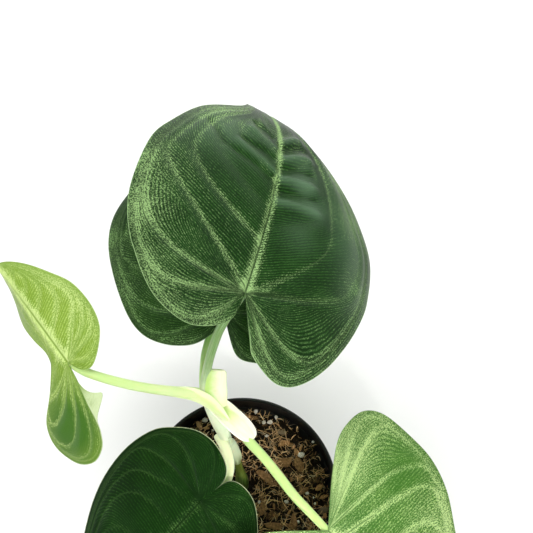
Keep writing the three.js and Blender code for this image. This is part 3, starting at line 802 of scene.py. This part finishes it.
def blade(name):
    """One leaf blade: both halves, top and underside, closed round the edge"""
    rays, stops = RAYS + 1, STOPS + 1
    size = rays * stops
    sheet = grid_faces(rays, stops)
    edge = np.arange(rays) * stops + stops - 1
    strip = np.column_stack([edge, edge + size]).ravel()[grid_faces(rays, 2)]
    half = np.vstack([sheet, sheet[:, ::-1] + size, strip])
    layers = [layer for side in (-1, 1) for layer in blade_half(name, side)]
    fields = {field: np.vstack([layer[1][field] for layer in layers]) for field in layers[0][1]}
    points = np.vstack([layer[0] for layer in layers])
    return points, np.vstack([half[:, ::-1], half + 2 * size]), fields


class Line:
    """A smooth line through stations of x, y, z and sizes, with directions across it. A station
    with one size has it both ways."""

    def __init__(self, stations, across, per_span):
        stations = np.array([(*s, s[3]) if len(s) == 4 else s for s in stations], float)
        self.shares = np.linspace(0, 1, (len(stations) - 1) * per_span + 1)
        self.points = path_curve(stations[:, :3], self.shares)
        self.sizes = mean_curve(stations[:, 3:], self.shares).T[..., None]
        self.ahead = unit(np.gradient(self.points, axis=0))
        self.wide = unit(across - (self.ahead @ np.asarray(across, float))[:, None] * self.ahead)
        self.deep = np.cross(self.ahead, self.wide)

    def skin(self, wide, deep, second, third, flip=False):
        """Points, faces and fields of rings round the line, closed with a fan at each end. The
        field run holds the length along the line and two more values."""
        rings = (
            self.points[:, None] + self.wide[:, None] * wide[..., None]
            + self.deep[:, None] * deep[..., None]
        )
        count, sides = rings.shape[:2]
        ends = (rings[0].mean(axis=0), rings[-1].mean(axis=0))
        first = np.arange(sides)
        onward = (first + 1) % sides
        last = (count - 1) * sides
        middle = np.full(sides, count * sides)
        faces = np.vstack([
            grid_faces(count, sides, flip=True, closed=True),
            np.column_stack([middle, onward, first]),
            np.column_stack([middle + 1, last + first, last + onward]),
        ])
        length = running(np.linalg.norm(np.diff(self.points, axis=0), axis=1))
        run = triples(length[:, None], second, third)
        run = np.vstack([run, run[:1], run[-1:]])
        points = np.vstack([rings.reshape(-1, 3), ends])
        return points, faces[:, ::-1] if flip else faces, {"run": run}


def tube(stations, sides=24, per_span=8, across=(1, 0, 0)):
    """Oval bar along a smooth line through stations of x, y, z, half width and half depth"""
    line = Line(stations, across, per_span)
    turn = around(sides)[None, :]
    width, depth = line.sizes
    return line.skin(width * np.cos(turn), depth * np.sin(turn), turn, line.shares[:, None])


def gutter(stations, across, sides=14, per_span=8):
    """Open sheath with a thick middle and thin rims: the field run holds the length along it,
    how far out towards a rim a point lies, and whether it is on the inner face"""
    line = Line(stations, across, per_span)
    width, depth, lift = line.sizes
    upright = np.sign(line.deep[:, 2:])
    out = np.linspace(-1, 1, sides)
    out = np.concatenate([out, out[::-1]])[None, :]
    inner = np.repeat([0.0, 1.0], sides)[None, :]
    thick = np.minimum(1.1, depth * 0.6) * (1 - 0.75 * out ** 2) * inner
    height = lift * out ** 2 - depth * (1 - out ** 2) + thick
    return line.skin(width * out, upright * height, np.abs(out), inner, flip=upright[0] < 0)


def stalk(name):
    """Leaf stalk, whose last stations run on under the midrib and thin out into it"""
    leaf = LEAVES[name]
    last_width = leaf["stalk"][-1][3]
    stations = list(leaf["stalk"])
    for along, depth, share in STALK_TAIL:
        out, place = np.zeros(1), np.full(1, float(along))
        point = blade_point(leaf, 1, out, place) - blade_normal(leaf, 1, out, place) * depth
        stations.append((*point[0], last_width * share))
    return tube(stations, across=leaf["across"])


def leaf_material(name):
    """Green blade with grooved pale side veins, fine broken striae, a frosted margin, painted shade in
    its grooves and a painted grey sheen on the front leaf
    """
    look = LEAF_LOOKS[name]
    s = Shader(name)
    rank, striae, step = s.parts("veins")
    reach, rim, mid = s.parts("place")
    patch, bold, below = s.parts("look")
    flat = s.field("flat")
    _, along, lanes = s.split(flat)
    along_rays, in_lobe, shade = s.parts("weave")

    specks = s.noise(flat, 1.6, 1, 0.5).ramp(0.36, 0.64)
    cloud = s.noise(flat, 0.07)
    wander = (s.noise(flat, 0.2, 2) - 0.5) * 0.7

    def lines(count):
        """Fine pale lines at each whole count, broken up into dashes along their length"""
        strand = count + wander
        dashes = s.noise(s.join(strand * 1.6, reach * 0.8), 1.0, 1)
        return s.math("PINGPONG", strand, 0.5).ramp(0.42, 0.06) * dashes.ramp(0.36, 0.6, 0.45)

    # In the lobes the striae fork wherever the veins part, so that their spacing stays alike
    level = s.math("LOGARITHM", step / STRIA_SPACING, 2.0)
    coarse = rank * s.math("POWER", 2.0, s.math("FLOOR", level))
    fork = s.math("FRACT", level).ramp(0.3, 0.7)
    forked = s.mix_value(fork, lines(coarse), lines(coarse * 2.0))
    stria = s.mix_value(along_rays, lines((striae + lanes) * 0.5), lines(lanes))
    stria = s.mix_value(in_lobe, stria, forked) * step.ramp(1.5, 5)
    texture = stria * look["strands"] + specks * look["flecks"]

    off_vein = s.math("PINGPONG", rank, 0.5) * step
    fade = reach.ramp(8, 75, 1.0, 0.35)
    band = (off_vein / (fade * 1.5 + 1.5)).ramp(1.0, 0.1) * bold * fade * look["veins"]
    mid_width = along.ramp(0, 105, 4.6, 2.1)
    mid_band = (mid / mid_width).ramp(1.1, 0.1) * along.ramp(-4, 4) * look["veins"]
    margin = (rim + (cloud - 0.5) * 8.0).ramp(10, 3) * mid.ramp(6, 22) * look["margin"]
    mask = patch + look["bloom"] + cloud.ramp(0.45, 0.75, 0.0, 0.12)
    mask = mask + band * 0.7 + mid_band * 0.95 + margin * 0.5
    thread = off_vein.ramp(0.7, 0.2) * bold * reach.ramp(3, 12) * look["threads"] * (specks + 0.5)
    frost = s.math("MAXIMUM", (mask + texture).ramp(0.58, 1.5, 0.0, 0.92), thread)

    # Painted shade: deep green down the inner parts of the side vein grooves, down the midrib's groove
    # and in the hollow where the lobes meet the stalk
    groove = off_vein.ramp(0.6, 0.12) * bold * reach.ramp(34, 8) * reach.ramp(0.4, 2)
    painted_midrib_shade = mid.ramp(0.65, 0.2) * along.ramp(75, 30) * along.ramp(-1, 1)
    painted_hollow_shade = mid.ramp(2.4, 1.0) * along.ramp(-5, -2) * along.ramp(1, -0.5)
    painted_groove_shade = s.math("MAXIMUM", s.math("MAXIMUM", groove, painted_midrib_shade), painted_hollow_shade)

    tone = cloud * 0.6 + stria * 0.45
    top = s.mix(tone.ramp(0.3, 0.72), look["deep"], look["green"])
    # Painted grey sheen on the front leaf, and a darker green patch on the young leaf's lower lobe
    top = s.mix(shade, top, look["shade"])
    top = s.mix(frost, top, look["frost"])
    top = s.mix(painted_groove_shade * 0.8, top, look["deep"])
    top = s.mix(rim.ramp(0.4, 0.1) * mid.ramp(8, 24) * look["lip"], top, look["edge"])
    under = s.mix(off_vein.ramp(0.9, 0.3) * 0.5, look["under"], look["frost"])
    colour = s.mix(below.ramp(0.4, 0.6), top, under)
    relief = off_vein.ramp(1.3, 0.0) * -0.6 * fade * bold + stria * 0.2 + specks * 0.15
    roughness = frost * 0.2 + 0.36 + specks * 0.08
    return s.finish(colour, roughness, (relief, 0.4, 0.6), look["gloss"])


def stalk_material(name, root, tip):
    """Smooth living stalk, paler at its sheathing foot, with faint lengthwise lines"""
    s = Shader(name)
    length, turn, share = s.parts("run")
    fibres = s.streaks(length * 0.05, turn * 6.0)
    cloud = s.noise(s.place(), 0.12, 2)
    base = s.mix((share + (cloud - 0.5) * 0.3).ramp(0.05, 0.6), root, tip)
    colour = s.mix(fibres.ramp(0.35, 0.7, 0.0, 0.25), base, root)
    return s.finish(colour, cloud * 0.12 + 0.36, (fibres, 0.12, 0.4), 0.45, 0.15)


def spear_material():
    """Rolled new leaf in its sheath: lime on its left, cream white on its right"""
    s = Shader("spear")
    length, turn, share = s.parts("run")
    cloud = s.noise(s.place(), 0.3)
    lines = s.streaks(length * 0.1, turn * 5.0)
    side = s.math("COSINE", turn) + (cloud - 0.5) * 0.8
    colour = s.mix(side.ramp(-0.7, 0.5), "b8d878", "f0f4d0")
    colour = s.mix(share.ramp(0.35, 0.0, 0.0, 0.6), colour, "e4f4b4")
    colour = s.mix(lines.ramp(0.45, 0.7, 0.0, 0.2), colour, "d2e8a0")
    return s.finish(colour, 0.4, (lines, 0.15, 0.5), 0.35, 0.1)


def stem_material():
    """Stem: dark green swollen base, olive bare length, pale joints under the leaves"""
    s = Shader("stem")
    length, turn, _ = s.parts("run")
    place = s.place()
    cloud = s.noise(place, 0.3)
    height = s.split(place)[2] + (cloud - 0.5) * 8.0
    fibres = s.streaks(length * 0.08, turn * 4.0)
    colour = s.mix(height.ramp(87, 93), "2c4410", "6f7a2c")
    colour = s.mix(height.ramp(104, 118), colour, "eef5d2")
    scar = s.node("VectorMath", {0: place, 1: EYELET}, "Value", operation="DISTANCE")
    colour = s.mix(scar.ramp(1.7, 1.0, 0.0, 0.9), colour, "2c2a14")
    colour = s.mix(fibres.ramp(0.4, 0.7, 0.0, 0.3), colour, "8a9a4a")
    return s.finish(colour, cloud * 0.15 + 0.4, (fibres + cloud, 0.3, 0.6), 0.35, 0.08)


def sheath_material(name, middle, rim, shade_from):
    """Clasping sheath: green down the middle of its inner face, cream at its thin rims and
    beyond the length at which its middle starts to turn pale"""
    s = Shader(name)
    length, out, _ = s.parts("run")
    cloud = s.noise(s.place(), 0.25)
    lines = s.streaks(length * 0.06, out * 5.0)
    edge = (out + (cloud - 0.5) * 0.5).ramp(0.15, 0.65)
    far = length.ramp(shade_from, shade_from + 14, 0.0, 0.75)
    colour = s.mix(s.math("MAXIMUM", edge, far), middle, rim)
    colour = s.mix(lines.ramp(0.4, 0.7, 0.0, 0.16), colour, middle)
    return s.finish(colour, cloud * 0.12 + 0.36, (lines + cloud * 0.6, 0.15, 0.5), 0.35, 0.1)


def pot_material():
    """Satin black moulded plastic with fine drawn grain, dust and scuffs"""
    s = Shader("pot")
    place = s.place()
    fine = s.noise(place, 1.6, 4, 0.6)
    wide = s.noise(place, 0.05)
    dust = s.noise(place, 0.3, 5, 0.7).ramp(0.56, 0.75)
    colour = s.mix(dust * 0.35, "0c0c0e", "2b2a29")
    colour = s.mix(wide.ramp(0.4, 0.7, 0.0, 0.5), colour, "17171a")
    return s.finish(colour, wide * 0.16 + 0.36 + dust * 0.2, (fine, 0.08, 0.5))


def bark_material(name, dark, light, grey, low=0.35):
    """Bark, coir or mix: each scrap has its own tone, with grain and dark pores. Scraps below
    the low draw stay dark."""
    s = Shader(name)
    place = s.place()
    draw, second, _ = s.parts("tint")
    grain = s.noise(place, 0.9, 5, 0.65)
    pores = s.noise(place, 2.6, 3, 0.6)
    colour = s.mix((draw * 0.8 + grain * 0.6).ramp(low, 1.05), dark, light)
    colour = s.mix(second.ramp(0.75, 1.0) * 0.6, colour, grey)
    colour = s.mix(pores.ramp(0.45, 0.3, 0.0, 0.7), colour, "120a05")
    return s.finish(colour, 0.82, (grain + pores * 0.5, 0.6, 0.9), 0.3)


def grain_material():
    """White expanded mineral grains with rough pores"""
    s = Shader("perlite")
    pores = s.noise(s.place(), 1.8, 4, 0.7)
    return s.finish(s.mix(pores.ramp(0.4, 0.62), "b9aa98", "f1efe8"), 0.9, (pores, 0.4, 0.9))


def floor_material():
    """Pale matt studio floor"""
    s = Shader("floor")
    return s.finish(s.mix(s.noise(s.place(), 0.01, 2), "f4f4f3", "f8f8f7"), 0.9, gloss=0.1)


def lathe(profile):
    """Points, faces and no fields of a profile of radius and height turned about the pot's axis"""
    profile = np.asarray(profile, float)
    turn = around(POT_SEGMENTS)
    radius, height = profile[:, :1], profile[:, 1:]
    points = triples(radius * np.cos(turn), radius * np.sin(turn), height)
    return points, grid_faces(len(profile), POT_SEGMENTS, closed=True), {}


def arc(centre, radius, start, end, steps=6):
    turn = np.radians(np.linspace(start, end, steps))
    return [(centre[0] + radius * math.cos(t), centre[1] + radius * math.sin(t)) for t in turn]


def wall_radius(z):
    taper = (POT_RIM_RADIUS - RIM_BAND_STEP - POT_BASE_RADIUS) / POT_HEIGHT
    return POT_BASE_RADIUS + taper * z


def drill_holes(pot):
    """Drain holes through the pot's floor"""
    for number in range(DRAIN_HOLES):
        turn = 2 * math.pi * (number + 0.5) / DRAIN_HOLES
        x, y = (DRAIN_HOLE_CIRCLE * part * MM for part in (math.cos(turn), math.sin(turn)))
        drill = bmesh.new()
        bmesh.ops.create_cone(
            drill, cap_ends=True, segments=32, radius1=DRAIN_HOLE_RADIUS * MM,
            radius2=DRAIN_HOLE_RADIUS * MM, depth=POT_FLOOR * 3 * MM,
            matrix=Matrix.Translation((x, y, 0)),
        )
        mesh = bpy.data.meshes.new("drill")
        drill.to_mesh(mesh)
        drill.free()
        cutter = add_object("drill", mesh)
        cut = pot.modifiers.new("drain", "BOOLEAN")
        cut.object = cutter
        cut.operation = "DIFFERENCE"
        cut.solver = "EXACT"
        bpy.context.view_layer.update()
        graph = bpy.context.evaluated_depsgraph_get()
        finished = bpy.data.meshes.new_from_object(pot.evaluated_get(graph))
        pot.modifiers.clear()
        pot.data = finished
        bpy.data.objects.remove(cutter)


def make_pot():
    """Tapered nursery pot with a stepped rim band and a rolled lip"""
    band = POT_HEIGHT - RIM_BAND_HEIGHT
    step = band + RIM_BAND_STEP
    lip = RIM_LIP / 2
    profile = [
        (0, 0), *arc((POT_BASE_RADIUS - 1, 1), 1, -90, 0),
        (wall_radius(band * 0.5), band * 0.5), (wall_radius(band - 0.4), band - 0.4),
        (wall_radius(band) + 0.3, band), (POT_RIM_RADIUS - 1, step - 0.3),
        (POT_RIM_RADIUS - 0.8, step), *arc((POT_RIM_RADIUS - lip, POT_HEIGHT - lip), lip, 0, 180, 12),
        (POT_RIM_RADIUS - POT_WALL - 0.9, step), (wall_radius(band - 1) - POT_WALL, band - 1),
        (wall_radius(POT_FLOOR + 1) - POT_WALL, POT_FLOOR + 1),
        (wall_radius(POT_FLOOR) - POT_WALL - 1, POT_FLOOR), (0, POT_FLOOR),
    ]
    pot = add_piece("pot_shell", lathe(profile), pot_material(), "pot")
    drill_holes(pot)
    pot.data.polygons.foreach_set("use_smooth", [True] * len(pot.data.polygons))
    pot.data.set_sharp_from_angle(angle=math.radians(40))


def soil_top(x, y):
    wide = SOIL_ROLL * np.sin(x / 9 + 1) * np.cos(y / 11)
    return SOIL_LEVEL + wide + 0.4 * np.sin((x + y) / 4)


def make_bed(material):
    """Crumbly surface of the mix, closed below"""
    side = wall_radius(SOIL_SIDE_TOP) - POT_WALL - SOIL_GAP
    radii = side * np.linspace(0, 1, BED_RINGS)[:, None]
    turn = around(BED_SEGMENTS)[None, :]
    x, y = radii * np.cos(turn), radii * np.sin(turn)
    crumbs = np.array([
        [noise.fractal(Vector((a, b, 3.0)) * 0.45, 0.8, 2.1, 4) for a, b in zip(row_x, row_y)]
        for row_x, row_y in zip(x, y)
    ])
    crumbs[0] = crumbs[0, 0]
    bottom = POT_FLOOR + SOIL_GAP
    low = wall_radius(bottom) - POT_WALL - SOIL_GAP
    rings = [triples(x, y, soil_top(x, y) - 0.9 + CRUMB_HEIGHT * crumbs)] + [
        triples(radius * np.cos(turn), radius * np.sin(turn), height)
        for radius, height in ((side, SOIL_SIDE_TOP), (low, bottom), (0.0, bottom))
    ]
    points = np.vstack(rings)
    faces = grid_faces(BED_RINGS + 3, BED_SEGMENTS, closed=True)
    fields = {"tint": np.tile((0.25, 0.2, 0.0), (len(points), 1))}
    add_piece("soil_bed", (points, faces, fields), material, "soil")


def turned(points, tilt_x, tilt_y, spin, place):
    turn = Matrix.Rotation(spin, 3, "Z") @ Matrix.Rotation(tilt_y, 3, "Y")
    return points @ np.array(turn @ Matrix.Rotation(tilt_x, 3, "X")).T + place


def chip(draw, length, width, thickness):
    """Flake of bark: an uneven outline with broken edges, thicker in the middle"""
    turn = around(CHIP_CORNERS) + draw.uniform(-0.2, 0.2, CHIP_CORNERS)
    radius = draw.uniform(0.78, 1.08, CHIP_CORNERS)
    x = np.cos(turn) * radius * length / 2
    y = np.sin(turn) * radius * width / 2
    rings = []
    for grow, height in CHIP_RINGS:
        uneven = draw.uniform(-0.12, 0.12, CHIP_CORNERS) * thickness * (grow > 0)
        rings.append(np.column_stack([x * grow, y * grow, thickness * height + uneven]))
    return np.vstack(rings), grid_faces(len(rings), CHIP_CORNERS, closed=True)


def scatter(draw, radius):
    """A place on the mix, clear of the stem"""
    while True:
        reach = radius * math.sqrt(draw.uniform())
        turn = draw.uniform(0, 2 * math.pi)
        x, y = reach * math.cos(turn), reach * math.sin(turn)
        if math.hypot(x - STEM[0][0], y - STEM[0][1]) > STEM_CLEARANCE:
            return x, y


def make_chips(material):
    """Bark flakes of all sizes, out to the wall, with a few large ones where the photo has them"""
    draw = np.random.default_rng(CHIP_SEED)
    parts = []
    placed = []
    for number in range(CHIP_COUNT):
        length = draw.uniform(5, 9) if number % 9 == 0 else draw.uniform(1.6, 4.5)
        place = scatter(draw, SOIL_REACH - length * 0.35)
        spin = draw.uniform(0, 2 * math.pi)
        placed.append((*place, length, spin, draw.uniform(-0.5, 1.1), draw.uniform() ** 1.5))
    for x, y, length, heading in BIG_CHIPS:
        placed.append((x, y, length, math.radians(heading), 1.6, 0.6))
    for x, y, length, spin, lift, tone in placed:
        width = length * draw.uniform(0.3, 0.55)
        points, faces = chip(draw, length, width, draw.uniform(0.7, 1.8))
        place = (x, y, soil_top(x, y) + lift)
        points = turned(points, *draw.normal(0, 0.3, 2), spin, place)
        parts.append((points, faces, (tone, draw.uniform(0, 0.9), 0)))
    add_piece("bark_chips", join_parts(parts), material, "soil", flat=True)


def shred(draw):
    """Thin broken shred of bark or coir, bowed between its ends"""
    x, y = scatter(draw, SOIL_REACH)
    heading = draw.uniform(0, 2 * math.pi)
    length = draw.uniform(1.5, 6.5)
    width = draw.uniform(0.07, 0.3)
    rise = draw.normal(0, 0.25) * length
    low = soil_top(x, y) + draw.uniform(-0.6, 1.5)
    middle = draw.normal(0, 0.12, 2) * length
    stations = []
    for share, size in ((-0.5, 0.4), (0, 1), (0.5, 0.3)):
        bow = 1 - 4 * share ** 2
        stations.append((
            x + math.cos(heading) * length * share + middle[0] * bow,
            y + math.sin(heading) * length * share + middle[1] * bow,
            low + rise * share, width * size, width * size * 0.6,
        ))
    across = (-math.sin(heading), math.cos(heading), 0.3)
    points, faces, _ = tube(stations, sides=4, per_span=2, across=across)
    return points, faces, (draw.uniform(), draw.uniform(0, 1), 0)


def fibre(draw):
    """Long bent fibre of coir over the flakes"""
    x, y = scatter(draw, 42)
    heading = draw.uniform(0, 2 * math.pi)
    length = draw.uniform(4, 15)
    stations = []
    for step in range(FIBRE_STEPS):
        heading += draw.normal(0, 0.3)
        height = soil_top(x, y) + 0.6 + draw.uniform(-0.3, 1.4)
        stations.append((x, y, height, draw.uniform(0.08, 0.2) * (1 - 0.5 * abs(step - 2) / 2)))
        x += math.cos(heading) * length / FIBRE_STEPS
        y += math.sin(heading) * length / FIBRE_STEPS
    across = (-math.sin(heading), math.cos(heading), 0.2)
    points, faces, _ = tube(stations, sides=4, per_span=3, across=across)
    return points, faces, (draw.uniform(0.4, 1), draw.uniform(0, 0.8), 0)


def make_scraps(name, seed, count, scrap, material, flat=False):
    """Many scraps of one kind, each from draws of its own, as one piece"""
    draw = np.random.default_rng(seed)
    parts = [scrap(draw) for _ in range(count)]
    add_piece(name, join_parts(parts), material, "soil", flat=flat)


def make_grains(material):
    """Lumpy white grains: the ones that the photo shows and a few small ones"""
    draw = np.random.default_rng(GRAIN_SEED)
    ball = bmesh.new()
    bmesh.ops.create_icosphere(ball, subdivisions=2, radius=1.0)
    shape = np.array([tuple(v.co) for v in ball.verts])
    faces = np.array([[v.index for v in f.verts] for f in ball.faces])
    ball.free()
    parts = []
    small = [(*scatter(draw, 45), draw.uniform(0.5, 1.0)) for _ in range(GRAIN_COUNT)]
    for x, y, size in small + BIG_GRAINS:
        shift = draw.uniform(-10, 10, 3)
        bumps = np.array([noise.noise(Vector(p * 1.3 + shift)) for p in shape])
        points = shape * (1 + 0.45 * bumps)[:, None] * size * draw.uniform(0.7, 1.2, 3)
        parts.append((points + (x, y, soil_top(x, y) + 1.3), faces, (0.5, 0.5, 0)))
    add_piece("perlite_grains", join_parts(parts), material, "soil")


def make_soil():
    make_bed(bark_material("potting_mix", "0c0603", "3a2212", "4a3a2c"))
    make_chips(bark_material("bark", "140a04", "b08456", "c0a684", 0.5))
    shreds = bark_material("shreds", "1c0e06", "f4c68c", "f8e4c0", 0.5)
    make_scraps("bark_shreds", SHRED_SEED, SHRED_COUNT, shred, shreds, flat=True)
    coir = bark_material("coir", "8a5830", "f0c48e", "f4dcb8")
    make_scraps("coir_fibres", FIBRE_SEED, FIBRE_COUNT, fibre, coir)
    make_grains(grain_material())


def make_leaves():
    for name, look in LEAF_LOOKS.items():
        add_piece(f"{name}_blade", blade(name), leaf_material(name), name)
        material = stalk_material(f"{name}_stalk", look["root"], look["tip"])
        add_piece(f"{name}_stalk", stalk(name), material, name)
    for name, made in SHEATHS.items():
        material = sheath_material(f"{name}_sheath", made["middle"], made["rim"], made["shade_from"])
        add_piece(f"{name}_sheath", gutter(made["stations"], made["across"]), material, name)


def make_stem():
    add_piece("stem_joints", tube(STEM), stem_material(), "stem")
    add_piece("rolled_spear", tube(SPEAR, sides=32), spear_material(), "new_spear", "sheath")
    old = stalk_material("old_sheath", "a4b084", "cdd6b2")
    add_piece("sheath_scrap", tube(OLD_SHEATH), old, "old_sheath", "sheath")
    for number, stations in enumerate(OLD_LOOPS):
        loop = tube(stations, across=(1, 0.4, 0))
        add_piece(f"sheath_loop_{number}", loop, old, "old_sheath", "sheath")


def make_floor():
    reach = FLOOR_REACH * MM
    corners = [(-reach, -reach, 0), (reach, -reach, 0), (reach, reach, 0), (-reach, reach, 0)]
    mesh = bpy.data.meshes.new("floor")
    mesh.from_pydata(corners, [], [(0, 1, 2, 3)])
    mesh.materials.append(floor_material())
    add_object("floor", mesh)


def aim(thing, place, direction):
    """An object at a place in millimetres, turned to look along a direction"""
    thing.location = place * MM
    thing.rotation_euler = direction.to_track_quat("-Z", "Y").to_euler()


def make_lights():
    for name, (place, target, size, power, mirrored, spread) in LIGHTS.items():
        data = bpy.data.lights.new(name, "AREA")
        data.shape = "SQUARE"
        data.size = size * MM
        data.energy = power
        data.spread = math.radians(spread)
        light = add_object(name, data)
        light.visible_glossy = mirrored
        aim(light, Vector(place), Vector(target) - Vector(place))
    world = bpy.data.worlds.new("studio")
    world.use_nodes = True
    background = world.node_tree.nodes["Background"]
    background.inputs["Color"].default_value = (1, 1, 1, 1)
    background.inputs["Strength"].default_value = WORLD_STRENGTH
    bpy.context.scene.world = world
    bpy.context.scene.view_settings.view_transform = "Standard"


def make_camera():
    data = bpy.data.cameras.new("camera")
    data.sensor_width = 36
    data.lens = data.sensor_width / 2 / math.tan(math.radians(CAMERA_VIEW / 2))
    data.clip_start = 0.05
    camera = add_object("camera", data)
    tilt = math.radians(CAMERA_ELEVATION)
    ahead = Vector((0, math.cos(tilt), -math.sin(tilt)))
    aim(camera, Vector(CAMERA_AIM) - ahead * CAMERA_DISTANCE, ahead)
    bpy.context.scene.camera = camera


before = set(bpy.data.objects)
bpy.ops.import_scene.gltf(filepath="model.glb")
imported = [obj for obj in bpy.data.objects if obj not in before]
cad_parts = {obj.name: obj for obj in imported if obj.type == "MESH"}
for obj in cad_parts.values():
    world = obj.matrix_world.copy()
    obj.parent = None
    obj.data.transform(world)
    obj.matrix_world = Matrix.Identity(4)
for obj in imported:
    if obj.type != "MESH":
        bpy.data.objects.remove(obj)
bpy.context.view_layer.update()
make_camera()
make_lights()
make_floor()
make_pot()
make_soil()
make_stem()
make_leaves()
